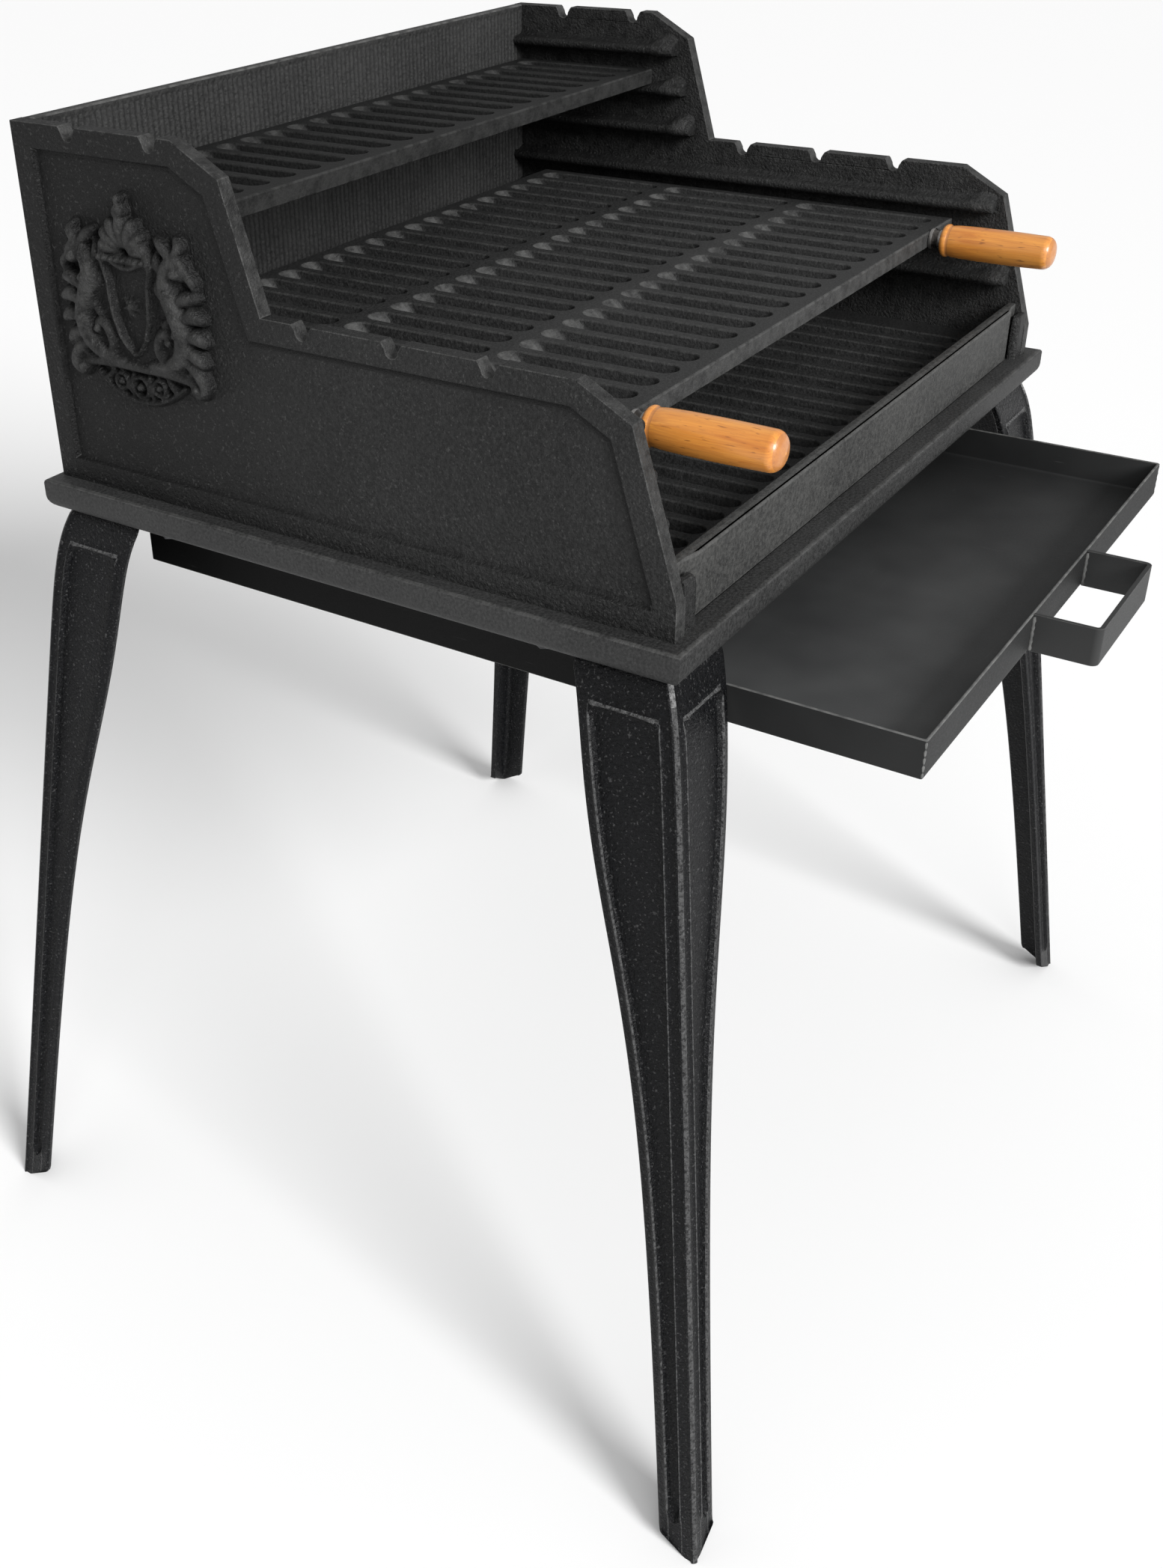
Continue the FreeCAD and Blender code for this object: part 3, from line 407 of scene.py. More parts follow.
# on the legs the very light colour, broken into fine flecks on the ridge and beads, paints glints: painted
# glints
leg_iron = cast_iron("cast_iron_leg", (0.0008, 0.0009, 0.0012), (0.0045, 0.0047, 0.0055),
                     (0.22, 0.22, 0.22), 0.34, 2.2, 1.2, 0.16, 0.14, 2.2)
warming_iron = cast_iron("cast_iron_warming_grate", (0.003, 0.0031, 0.0031), (0.011, 0.0112, 0.011),
                         (0.05, 0.05, 0.049), 0.66, 2.0, 0.6, 0.06, 0.18)
black_sheet = sheet_steel("black_sheet", 3.9, 0.12, 1.0)
strap_sheet = sheet_steel("strap_sheet", 1.0, 0.3, 0.0)
# a much darker copy of the sheet for the guide strips: painted shade under the frame
shaded_guide_sheet = sheet_steel("shaded_guide_sheet", 0.2, 0.12, 0.0)
ferrule_steel = dark_steel("ferrule_steel", (0.055, 0.05, 0.046), 0.3)
bolt_steel = dark_steel("bolt_steel", (0.05, 0.05, 0.052), 0.45)
beech = varnished_beech("varnished_beech")


# ---- base frame
def build_base_frame():
    """A flat cast ring whose outer edge is rounded below into a nose."""
    low, high = corners("base_frame")
    ring_width = 46.0
    nose = 10.0
    top = high.z
    profile = [(ring_width, top), (3.0, top), (1.4, top - 0.3), (0.4, top - 1.2), (0.0, top - 2.6),
               (0.0, top - 8.0)]
    profile += arc((nose, low.z + nose), nose, 180, 270, 6) + [(ring_width, low.z)]
    shell = Shell()
    rings = []
    for inward, height in profile:
        left, right, front, rear = low.x + inward, high.x - inward, low.y + inward, high.y - inward
        rings.append(shell.ring([(left, front, height), (right, front, height),
                                 (right, rear, height), (left, rear, height)]))
    # the top outer edge is painted lighter: wear and a painted highlight
    shell.skins(rings, rubbed=(1, 2), rub=0.45, around=True)
    fit("frame_casting", shell, frame_iron, nodes=["base_frame"])


# ---- side plates
REAR_TOP, BEVEL_RUN, BEVEL_DROP, REAR_SLOPE, FRONT_SLOPE = 136.0, 35.0, 19.0, 24.0, 31.0
TOE, FRONT_HEIGHT, BORDER, SINK = 23.0, 140.0, 15.0, 3.2
OUTER_FACE = 296.6
INNER_FACE = 286.0
# the border's inner edge: steps of (further in, deeper, share of the painted shadow)
BORDER_STEPS = ((0.0, 0.0, 0.15), (0.5, 0.25, 0.8), (1.1, 1.2, 1.0), (1.8, 2.6, 1.0), (2.6, 3.1, 0.85),
                (3.6, 3.2, 0.45), (4.8, 3.2, 0.0))
BORDER_LEVEL = 40.0
NOTCH_HALF = 6.6
NOTCH_FOOT = 4.4
NOTCH_SINK = 9.0
NOTCH_STEP = 4.0
REAR_NOTCH_INSET, BEVEL_NOTCH_INSET, STEP_NOTCH_INSET, FRONT_NOTCH_INSET = 50.0, 18.0, 31.0, 56.0
LEDGE_HEIGHT = 8.0
LEDGE_REACH = 16.0
LEDGES = (59.0, 86.0, 113.0, 147.0, 178.0, 209.0)
GRATE_LEDGES = (1, 4)
FIRST_HIGH_LEDGE = 3
LOW_LEDGE_GAP, HIGH_LEDGE_GAP = 7.0, 12.0
# a ledge's front end: rows of (distance from the end, share of the stop's height)
STOP = ((30.0, 0.0), (23.0, 0.12), (18.0, 0.5), (14.0, 0.86), (10.0, 1.0), (6.0, 0.92), (3.0, 0.7),
        (1.0, 0.42), (0.0, 0.1))
CREST_FROM_REAR, CREST_HEIGHT = 89.0, 132.0


def plate_corners(low, high):
    """The stepped outline as (y, z), from the bottom rear corner round the back and the top."""
    rear, front, base, top = high.y, low.y, low.z, high.z
    bevel, step = rear - REAR_TOP - BEVEL_RUN, base + FRONT_HEIGHT
    return [(rear, base), (rear, top), (rear - REAR_TOP, top), (bevel, top - BEVEL_DROP),
            (bevel - REAR_SLOPE, step), (front + FRONT_SLOPE + BEVEL_RUN, step),
            (front + FRONT_SLOPE, step - BEVEL_DROP), (front, base + TOE), (front, base)]


def notch_centres(outline):
    """Where the skewer notches are along the two level edges: (y, z of the edge)."""
    rear, bevel = outline[1], outline[2]
    step, front = outline[4], outline[5]
    near_step, near_front = step[0] - STEP_NOTCH_INSET, front[0] + FRONT_NOTCH_INSET
    return [(rear[0] - REAR_NOTCH_INSET, rear[1]), (bevel[0] + BEVEL_NOTCH_INSET, rear[1]),
            (near_step, step[1]), ((near_step + near_front) / 2, step[1]), (near_front, step[1])]


def notched(outline):
    """The stepped outline with the skewer notches cut into its level edges."""
    points = []
    notches = notch_centres(outline)
    for index, point in enumerate(outline):
        points.append(point)
        after = outline[(index + 1) % len(outline)]
        for along, level in notches:
            on_edge = abs(point[1] - level) < 0.01 and abs(after[1] - level) < 0.01
            if on_edge and after[0] < along < point[0]:
                centre = (along, level - NOTCH_SINK + NOTCH_FOOT)
                points += [(along + NOTCH_HALF + 0.8, level), (along + NOTCH_HALF - 0.2, level - 1.2)]
                points += arc(centre, NOTCH_FOOT, 0, -180, 9)
                points += [(along - NOTCH_HALF + 0.2, level - 1.2), (along - NOTCH_HALF - 0.8, level)]
    return points


def build_side_plate(hand, side):
    """A stepped plate with a sunk panel outside, its ledges, its corner lug and its ornament."""
    node = f"side_plate_{hand}"
    low, high = corners(node)
    outer, inner = side * OUTER_FACE, side * INNER_FACE
    stepped = plate_corners(low, high)
    shell = Shell()
    rim_out = shell.ring([(outer, y, z) for y, z in notched(stepped)])
    rim_in = shell.ring([(inner, y, z) for y, z in notched(stepped)])

    def rim_wear(_, start, end):
        run = (end - start).length
        # the short faces in the notches are painted lighter: painted highlight
        if run < NOTCH_STEP:
            return 0.4
        leaning = 0.4 * run < abs(end.z - start.z)
        return 0.26 if max(start.z, end.z) > low.z + 20 and leaning and start.y < high.y - 20 else 0.0

    shell.quads(rim_out, rim_in, rim_wear)
    # the inner face is painted slightly lighter: painted light on a face in shade
    shell.sheet(rim_in, wear=0.16)
    panel = [shell.ring([(outer - side * sunk, y, z) for y, z in inset(stepped, BORDER + inward)])
             for inward, sunk, _ in BORDER_STEPS]
    shell.sheet(rim_out, panel[0])
    middle = (low.z + high.z) / 2 - BORDER_LEVEL
    for (_, _, share), first, second in zip(BORDER_STEPS, panel, panel[1:]):

        # painted shadow on the panel's step faces, darkest on the upper and front steps
        def painted_shade(_, start, end):
            if abs(end.y - start.y) < 0.4 * (end - start).length:
                return share * (-0.75 if start.y < 0 else -0.3)
            return share * (-0.95 if start.z > middle else -0.35)

        shell.quads(first, second, painted_shade)
    shell.sheet(panel[-1])
    fit(f"{node}_casting", shell, plate_iron, nodes=[node], bevel=1.6, segments=3, sharp=40,
        rub=0.55)
    build_ledges(hand, side, inner, stepped)
    build_lug(hand, side, inner, low)
    build_crest(hand, side, outer - side * SINK, stepped)


def leaning_edge(first, second, height):
    """How far along the straight edge between two corners lies at a height."""
    share = (height - second[1]) / (first[1] - second[1])
    return second[0] + share * (first[0] - second[0])


def build_ledges(hand, side, inner, outline):
    """Six shelf ribs with a rounded nose; the front end of each swells into a soft stop, which hugs the
    plate where a grate slides past it."""
    base = outline[0][1]
    rear = outline[0][0] - 8.0
    half = LEDGE_HEIGHT / 2
    shell = Shell()
    for number, level in enumerate(LEDGES):
        height = base + level
        upper = number >= FIRST_HIGH_LEDGE
        if upper:
            front = leaning_edge(outline[3], outline[4], height) + HIGH_LEDGE_GAP
        else:
            front = leaning_edge(outline[6], outline[7], height) + LOW_LEDGE_GAP
        passed = number in GRATE_LEDGES
        rise = 5.5 if upper else 3.0
        rings = []
        for along, swell in [(rear, 0.0)] + [(front + back, share) for back, share in STOP]:
            reach = LEDGE_REACH - 2.0 + (1.5 * swell if along > front + 8 else 0.4 - 2.6 * (1 - swell))
            up = half + rise * swell
            lift = 0.0 if passed else (up - half) * 0.35
            section = [(-0.6, -half - 1.4), (1.2, -half - 0.3), (3.0, -half), (reach - 4.6, -half + 0.2)]
            for turn in range(-80, 81, 20):
                angle = radians(turn)
                section.append((reach - 4.4 + 4.4 * cos(angle),
                                lift * (turn + 80) / 160 + (half - 0.1) * sin(angle)))
            if passed:
                section += [(7.4, half - 0.1), (6.6, half + 0.5 * (up - half)), (5.2, up), (2.6, up + 0.5),
                            (-0.6, up + 1.6)]
            else:
                section += [(reach - 6.4, up - 0.5), (reach - 9.0, up), (4.0, up + 0.4), (1.6, up + 1.4),
                            (-0.6, up + 3.6)]
            rings.append(shell.ring([(inner - side * x, along, height + z) for x, z in section]))
        shell.tube(rings, wear=0.05, rubbed=range(3, 7), rub=0.22)
    fit(f"shelf_ledges_{hand}", shell, plate_iron, sharp=75)


def build_lug(hand, side, inner, low):
    """The rounded boss in front of the front plate's end."""
    shell = Shell()
    width, height, depth = 16.0, 34.0, 6.0
    rings = []
    for up, shrink in ((0.0, 0.0), (height - 7.0, 0.2), (height - 3.0, 1.2), (height - 0.8, 3.2),
                       (height, 5.5)):
        outline = [(-1.0, depth), (-1.0, 0.6 + shrink * 0.3)]
        outline += arc((width - 5.0 - shrink, shrink * 0.3 + 5.0), 5.0, -90, 0, 5)
        outline.append((width - shrink, depth))
        rings.append(shell.ring([(inner - side * x, low.y + y, low.z + up) for x, y in outline]))
    shell.tube(rings)
    fit(f"corner_lug_{hand}", shell, plate_iron)


# ---- ornament on the plates
# leaf scrolls as rows of (across, up, radius, height), drawn for one half and mirrored
FLANK_STROKES = [
    [(12, -37, 4.0, 5.0), (27, -35, 6.0, 6.2), (39, -27, 7.4, 7.4), (43, -12, 8.0, 8.4), (38, 3, 8.0, 8.6),
     (33, 16, 7.6, 8.2), (35, 27, 7.0, 7.8), (42, 33, 6.2, 7.4), (48, 30, 5.0, 6.8), (47, 24, 3.6, 5.8)],
    [(24, -34, 3.6, 4.6), (20, -25, 4.8, 5.6), (24, -15, 4.8, 6.0), (31, -14, 3.8, 5.4), (31, -21, 3.0, 4.6)],
    [(44, -30, 4.4, 5.4), (53, -36, 5.6, 6.2), (57, -45, 5.0, 6.0), (51, -50, 4.0, 5.2), (46, -46, 2.8, 4.6)],
    [(46, -22, 5.0, 6.2), (53, -25, 6.0, 6.6), (58, -29, 4.2, 5.4)],
    [(49, -12, 5.0, 6.6), (55, -12, 6.2, 7.0), (60, -15, 4.4, 5.6)],
    [(46, -1, 5.0, 6.8), (53, 1, 6.2, 7.0), (59, -1, 4.4, 5.6)],
    [(43, 9, 4.8, 6.6), (50, 12, 5.8, 6.8), (56, 12, 4.0, 5.4)],
    [(40, 34, 4.6, 6.0), (33, 41, 5.0, 6.0), (28, 45, 3.4, 4.6)],
    [(50, 27, 4.4, 6.0), (55, 22, 4.4, 5.8), (56, 17, 3.0, 4.4)],
    [(42, 36, 4.4, 6.0), (46, 42, 4.8, 6.0), (44, 47, 3.2, 4.6)],
    [(29, 8, 3.2, 5.0), (25, 14, 3.8, 5.4), (24, 21, 2.2, 3.6)],
    [(30, 24, 3.2, 5.0), (26, 31, 4.0, 5.6), (27, 38, 2.2, 3.6)],
    [(33, -3, 3.2, 5.0), (28, -8, 3.6, 5.2), (24, -6, 2.0, 3.4)],
    [(50, -30, 2.4, 3.8), (46, -37, 3.2, 4.2), (38, -38, 2.4, 3.6)],
    [(0, -40, 4.0, 5.4), (24, -40, 4.0, 5.4), (48, -42.5, 3.6, 5.0)],
    [(0, -63.5, 2.6, 4.0), (14, -61.5, 2.6, 4.0), (28, -55, 2.6, 4.0), (38, -48, 2.4, 3.8)],
    [(7, -46, 2.4, 3.6), (10, -54, 3.0, 4.2), (8, -60, 1.8, 3.0)],
    [(24, -45, 2.4, 3.6), (29, -50, 3.0, 4.0), (36, -51, 1.8, 3.0)],
    [(0, 29.5, 3.8, 5.6), (22, 28.5, 3.6, 5.4)],
]
FLANK_BOSSES = [(44, 27, 4.2, 9.4), (31, -18, 3.4, 7.0), (50, -46, 3.6, 6.8), (36, 15, 3.4, 10.0),
                (41, -11, 3.4, 10.0), (16.5, -51, 3.0, 5.2), (0, 59.0, 5.2, 7.4), (0, 66.4, 3.8, 6.2),
                (0, -53, 3.4, 5.4)]
NOTHING = -9.0


def only(where, height):
    """The height in some places, and nothing elsewhere."""
    return np.where(where, height, NOTHING)


def stroke_height(u, v, rows):
    """The height of a rounded, tapering stroke over a grid of places."""
    best = np.full(u.shape, NOTHING)
    path = smooth_path(rows, 5)
    for first, second in zip(path, path[1:]):
        du, dv = second[0] - first[0], second[1] - first[1]
        share = np.clip(((u - first[0]) * du + (v - first[1]) * dv) / max(1e-6, du * du + dv * dv), 0, 1)
        away = np.hypot(u - first[0] - share * du, v - first[1] - share * dv)
        radius = first[2] + share * (second[2] - first[2])
        height = first[3] + share * (second[3] - first[3])
        inside = 1 - (away / radius) ** 2
        crease = 0.9 * np.exp(-(away / 0.9) ** 2) if rows[0][2] >= 3.0 and len(rows) == 3 else 0.0
        best = np.maximum(best, only(inside > 0, height * np.sqrt(np.maximum(inside, 0)) - crease))
    return best


def boss_height(u, v, boss):
    """The height of a round boss of (across, up, radius, height)."""
    inside = 1 - ((u - boss[0]) ** 2 + (v - boss[1]) ** 2) / boss[2] ** 2
    return only(inside > 0, boss[3] * (0.45 + 0.55 * np.sqrt(np.maximum(inside, 0))))


def shield_height(u, v):
    """A plain shield: raised rim round a sunk field with a six-petalled rosette."""
    half = np.interp(v, [-33, -28, -20, -8, 4, 14, 24], [0.5, 7, 13, 17, 18.5, 19, 22])
    edge = np.minimum(half - u, np.minimum(v + 33, 26 - v + 0.024 * u * u))
    height = only(edge > 0, 5.6 - 1.2 * np.clip(1 - edge / 1.2, 0, 1))
    around = np.arctan2(v, u)
    away = np.hypot(u, v)
    field = 2.2 + 2.2 * np.clip(1 - (edge - 3.4) / 1.2, 0, 1) + 0.010 * (12 - away)
    height = np.where(edge > 3.4, field, height)
    petals = 9.5 * (0.62 + 0.38 * np.cos(6 * around + pi / 2))
    rosette = only(away < petals, 4.8 - 2.0 * (away / 9.5) ** 2)
    return np.maximum(height, np.maximum(rosette, only(away < 2.6, 6.0 - 0.25 * away ** 2)))


def build_crest(hand, side, surface, outline):
    """A cartouche in relief: shield and rosette, fan, leaf scrolls, ribbon and roundels."""
    middle = (outline[0][0] - CREST_FROM_REAR, outline[0][1] + CREST_HEIGHT)
    step = 0.95
    across = np.arange(0, 66 + step, step)
    up = np.arange(-69, 71 + step, step)
    u, v = np.meshgrid(across, up)
    plaque = np.minimum(47 - u - 0.004 * (v + 4) ** 2, np.minimum(v + 44, 30 - v))
    height = np.maximum(shield_height(u, v), only(plaque > 0, 2.2 * np.clip(plaque / 1.5, 0, 1)))
    for rows in FLANK_STROKES:
        height = np.maximum(height, stroke_height(u, v, rows))
    for boss in FLANK_BOSSES:
        height = np.maximum(height, boss_height(u, v, boss))
    for petal in range(4):
        turn = radians(90 - petal * 25)
        reach = 27.0 - petal * 1.6
        rows = [(out * cos(turn), 33 + out * sin(turn) * 0.95, radius, rise)
                for out, radius, rise in ((5, 2.4, 5.0), (0.6 * reach, 5.2, 7.4), (reach - 5, 5.4, 7.0))]
        height = np.maximum(height, stroke_height(u, v, rows))
    for bead in range(5):
        height = np.maximum(height, boss_height(u, v, (bead * 5.2, 29.4, 2.3, 7.6)))
    for centre, size in (((0, -53), 6.6), ((16.5, -51), 5.2)):
        ring = 1 - ((np.hypot(u - centre[0], v - centre[1]) - size) / 1.9) ** 2
        height = np.maximum(height, only(ring > 0, 4.8 * np.sqrt(np.maximum(ring, 0))))
    height = np.where(height > 0, 1.35 * height, -1.6)
    for _ in range(2):
        padded = np.pad(height, 1, mode="edge")
        height = (4 * height + padded[:-2, 1:-1] + padded[2:, 1:-1]
                  + padded[1:-1, :-2] + padded[1:-1, 2:]) / 8
    full = np.concatenate([height[:, :0:-1], height], axis=1)
    places = np.concatenate([-across[:0:-1], across])
    shell = Shell()
    top = [shell.ring([(surface + side * (value if value > -1.45 else -1.6), middle[0] + a, middle[1] + b)
                       for a, value in zip(places, row)]) for b, row in zip(up, full)]
    low = [shell.ring([(surface - side * 2.4, middle[0] + a, middle[1] + b) for a in (places[0], places[-1])])
           for b in (up[0], up[-1])]
    shell.skins(top, closed=False)
    shell.face(top[0] + [low[0][1], low[0][0]])
    shell.face(top[-1] + [low[1][1], low[1][0]])
    shell.face([row[0] for row in top] + [low[1][0], low[0][0]])
    shell.face([row[-1] for row in top] + [low[1][1], low[0][1]])
    shell.face([low[0][0], low[0][1], low[1][1], low[1][0]])
    # the raised tops of the ornament are painted lighter and its low parts darker: painted highlights and
    # painted shade
    raised = full > -1.0
    for number in range((len(up) - 1) * (len(places) - 1)):
        row, column = divmod(number, len(places) - 1)
        if raised[row, column]:
            shell.wear[number] = float(np.clip((full[row, column] - 5.2) / 9.0, -0.7, 0.3))
    fit(f"ornament_{hand}", shell, plate_iron)


# ---- back and front plates
def build_back_plate():
    """A full-height plate whose inner face is finely fluted, with a plain rim on top."""
    low, high = corners("back_plate")
    pitch, depth, samples = 5.2, 1.0, 6
    count = int((high.x - low.x) / pitch)
    start = (low.x + high.x - count * pitch) / 2
    shell = Shell()
    front = [(low.x, low.y)]
    for flute in range(count):
        for sample in range(samples):
            share = sample / samples
            front.append((start + (flute + share) * pitch, low.y + depth * sin(pi * share) ** 1.4))
    front.append((high.x, low.y))
    rim = high.z - 4.0
    rows = [shell.ring([(x, y, height) for x, y in front]) for height in (low.z, rim - 1.2)]
    rows += [shell.ring([(x, y, height) for x, _ in front])
             for y, height in ((low.y, rim), (low.y, high.z - 1.2), (low.y + 0.4, high.z - 0.3),
                               (low.y + 1.4, high.z), (high.y - 1.4, high.z), (high.y - 0.4, high.z - 0.3),
                               (high.y, high.z - 1.2), (high.y, low.z))]
    shell.skins(rows, rubbed=(3, 4, 6, 7), rub=0.9, closed=False, around=True)
    shell.sheet([row[0] for row in rows])
    shell.sheet([row[-1] for row in rows])
    fit("back_plate_casting", shell, body_iron, nodes=["back_plate"])


def build_front_plate():
    """A low plate whose ends step back to sit behind the corner lugs."""
    low, high = corners("front_plate")
    tongue, slope, back = 12.0, 9.0, 3.0
    plan = [(low.x, high.y), (low.x, low.y + back), (low.x + tongue, low.y + back),
            (low.x + tongue + slope, low.y), (high.x - tongue - slope, low.y),
            (high.x - tongue, low.y + back), (high.x, low.y + back), (high.x, high.y)]
    shell = Shell()
    prism(shell, plan, low.z, high.z)
    fit("front_plate_casting", shell, front_iron, nodes=["front_plate"], bevel=2.2,
        segments=3, sharp=30)


# ---- grates
def slot_ring(x, near, far, half):
    """A slot's outline: straight sides and rounded ends."""
    return arc((x, far - half), half, 0, 180, 8) + arc((x, near + half), half, 180, 360, 8)


def cell_ring(slot, x, half, left, right, near, far):
    """The cell's rectangle, a point for each point of the slot's outline inside it."""
    diagonal = 0.70711
    points = []
    ends = (min(py for _, py in slot), max(py for _, py in slot))
    for px, py in slot:
        share = (px - x) / half
        end, start = (far, ends[1] - half) if py > (ends[0] + ends[1]) / 2 else (near, ends[0] + half)
        if abs(share) < diagonal + 0.0001:
            points.append((x + share / diagonal * (right - x if share > 0 else x - left), end))
        else:
            lift = min(1.0, abs(py - start) / (half * diagonal))
            points.append((right if share > 0 else left, start + (end - start) * lift))
    return points


def build_grate(node, body, iron, rows, rails, width, pitch, rib, scoop):
    """Bars that narrow upward between flared slots, whose far ends slope down like a scoop."""
    low, high = corners(node)
    side_rail, front_rail, rear_rail = rails
    run = (high.y - rear_rail - low.y - front_rail - (rows - 1) * rib) / rows
    count = int((high.x - low.x - 2 * side_rail - width) / pitch) + 1
    thick = high.z - low.z
    flare = 2.7
    # a slot's walls, from the top down: depth, wider by, longer by, and how far the scoop has come in
    levels = [(0.0, flare, 0.9, 0.0), (0.35, flare - 0.75, 0.5, 0.3), (1.1, flare - 1.3, 0.2, 0.1 * scoop),
              (0.3 * thick, 0.7, 0.0, 0.4 * scoop), (0.65 * thick, -0.7, -0.3, 0.78 * scoop),
              (thick, -1.8, -0.8, scoop)]
    shell = Shell()
    for row in range(rows):
        near = low.y + front_rail + row * (run + rib)
        far = near + run
        cell_near = low.y if row == 0 else near - rib / 2
        cell_far = high.y if row == rows - 1 else far + rib / 2
        for column in range(count):
            x = (column - (count - 1) / 2) * pitch
            left = low.x if column == 0 else x - pitch / 2
            right = high.x if column == count - 1 else x + pitch / 2
            half = width / 2 + flare
            slots = [slot_ring(x, near - reach, far + reach - pull, width / 2 + grow)
                     for _, grow, reach, pull in levels]
            border = cell_ring(slots[0], x, half, left, right, cell_near, cell_far)
            top = shell.ring([(px, py, high.z) for px, py in border])
            base = shell.ring([(px, py, low.z) for px, py in border])
            walls = [shell.ring([(px, py, high.z - level[0]) for px, py in slot])
                     for level, slot in zip(levels, slots)]
            shell.skin(top, walls[0])
            for index, (first, second) in enumerate(zip(walls, walls[1:])):
                shell.skin(first, second, wear=0.25 if index < 2 else 0.0)
                # the scooped far ends of the slots are painted lighter: painted highlight
                if scoop > 5 and index < 4:
                    for step in range(1, 7):
                        shell.wear[step - len(border)] = 0.6 if 2 <= step <= 5 else 0.35
            shell.skin(walls[-1], base)
            for first in range(len(border)):
                second = (first + 1) % len(border)
                for axis, edge in ((0, low.x), (0, high.x), (1, low.y), (1, high.y)):
                    if all(abs(border[end][axis] - edge) < 0.001 for end in (first, second)):
                        # the front faces are painted lighter: wear and painted light on the side that faces
                        # the lamp
                        shell.face((top[first], top[second], base[second], base[first]),
                                   0.3 if edge == low.y else 0.0)
    fit(f"{node}_casting", shell, iron, body, "cast_grate", [node], bevel=1.3, segments=3, sharp=70)


# ---- handles
def lathe(shell, centre, profile, sides=40, rubbed=()):
    """A piece turned about the Y axis from rows of (radius, y)."""
    rings = [shell.ring([(x, along, z) for x, z in arc(centre, radius, 0, 360 - 360 / sides, sides - 1)])
             for radius, along in profile]
    shell.tube(rings, rubbed=rubbed, rub=1.0)


def build_handle(hand):
    """A turned grip with a bead at its root and a rounded tip, on a waisted sleeve."""
    low, high = corners(f"handle_grip_{hand}")
    centre = ((low.x + high.x) / 2, (low.z + high.z) / 2)
    radius = (high.x - low.x) / 2
    root, tip = high.y, low.y
    profile = [(5.0, root)]
    profile += [(radius - less, root - down) for less, down in
                ((2.6, 0.0), (1.2, 0.7), (0.5, 2.0), (0.3, 3.4), (0.9, 4.8), (1.3, 5.8), (1.0, 7.0),
                 (0.5, 12.0), (0.1, 26.0), (0.0, 45.0), (0.15, 62.0))]
    end = 7.0
    profile += arc((radius - 0.4 - end, tip + 0.8 + end), end, 0, -90, 9)
    profile += [(2.5, tip + 0.2), (0.8, tip)]
    shell = Shell()
    lathe(shell, centre, profile, 48, rubbed=(5, 6, 16, 17, 18, 19, 20, 21, 22))
    fit(f"wood_grip_{hand}", shell, beech, "cooking_grate", "wood_grip", [f"handle_grip_{hand}"])
    low, high = corners(f"handle_ferrule_{hand}")
    radius = (high.x - low.x) / 2
    sleeve = Shell()
    lathe(sleeve, centre, [(4.2, high.y), (radius - 0.8, high.y), (radius, high.y - 0.8),
                           (radius, high.y - 3.0), (radius - 0.9, high.y - 3.8), (radius - 0.9, low.y + 3.2),
                           (radius - 0.2, low.y + 2.4), (radius - 0.2, low.y + 0.8), (radius - 1.0, low.y),
                           (4.2, low.y)], rubbed=(1, 2, 6))
    fit(f"ferrule_{hand}", sleeve, ferrule_steel, "cooking_grate", "dark_steel", [f"handle_ferrule_{hand}"])


# ---- ash tray
def weld(shell, x, y, bottom, top, count, ripple, wear):
    """An upright bead of count rings; ripple holds its radius, its swing and its rate."""
    radius, swing, rate = ripple
    rings = []
    for step in range(count):
        height = bottom + step * (top - bottom) / (count - 1)
        size = radius + swing * sin(step * rate)
        rings.append(shell.ring([(px, py, height) for px, py in arc((x, y), size, 0, 315, 7)]))
    shell.tube(rings, wear=wear)


def build_ash_tray():
    """A folded tray: rounded folds, thin walls and a welded seam at each corner."""
    low, high = corners("ash_tray")
    wall = 2.0
    shell = Shell()
    rows = ((6.0, low.z), (1.4, low.z), (0.5, low.z + 0.4), (0.1, low.z + 1.4), (0.0, low.z + 3.0),
            (0.0, high.z - 0.5), (0.5, high.z), (wall - 0.5, high.z), (wall, high.z - 0.5),
            (wall, low.z + wall + 1.6),
            (wall + 0.5, low.z + wall + 0.5), (wall + 1.8, low.z + wall), (wall + 8.0, low.z + wall))
    rings = []
    for inward, height in rows:
        outline = round_rectangle(low.x + inward, high.x - inward, low.y + inward, high.y - inward,
                                  1.4 if inward <= wall else 0.8)
        rings.append(shell.ring([(x, y, height) for x, y in outline]))
    # the outer walls are darkened: painted shade
    shell.skins(rings[:6], -0.75)
    shell.skins(rings[5:9], 0.8)
    shell.skins(rings[8:])
    shell.sheet(rings[0])
    shell.sheet(rings[-1])
    fit("ash_tray_sheet", shell, black_sheet, "ash_tray", "sheet_steel", ["ash_tray"])
    seams = Shell()
    for x in (low.x + 0.9, high.x - 0.9):
        for y in (low.y + 0.9, high.y - 0.9):
            weld(seams, x, y, low.z + 1.5, high.z - 0.9, 15, (0.85, 0.22, 2.1), 0.8)
    fit("ash_tray_corner_welds", seams, black_sheet, "ash_tray", "sheet_steel")


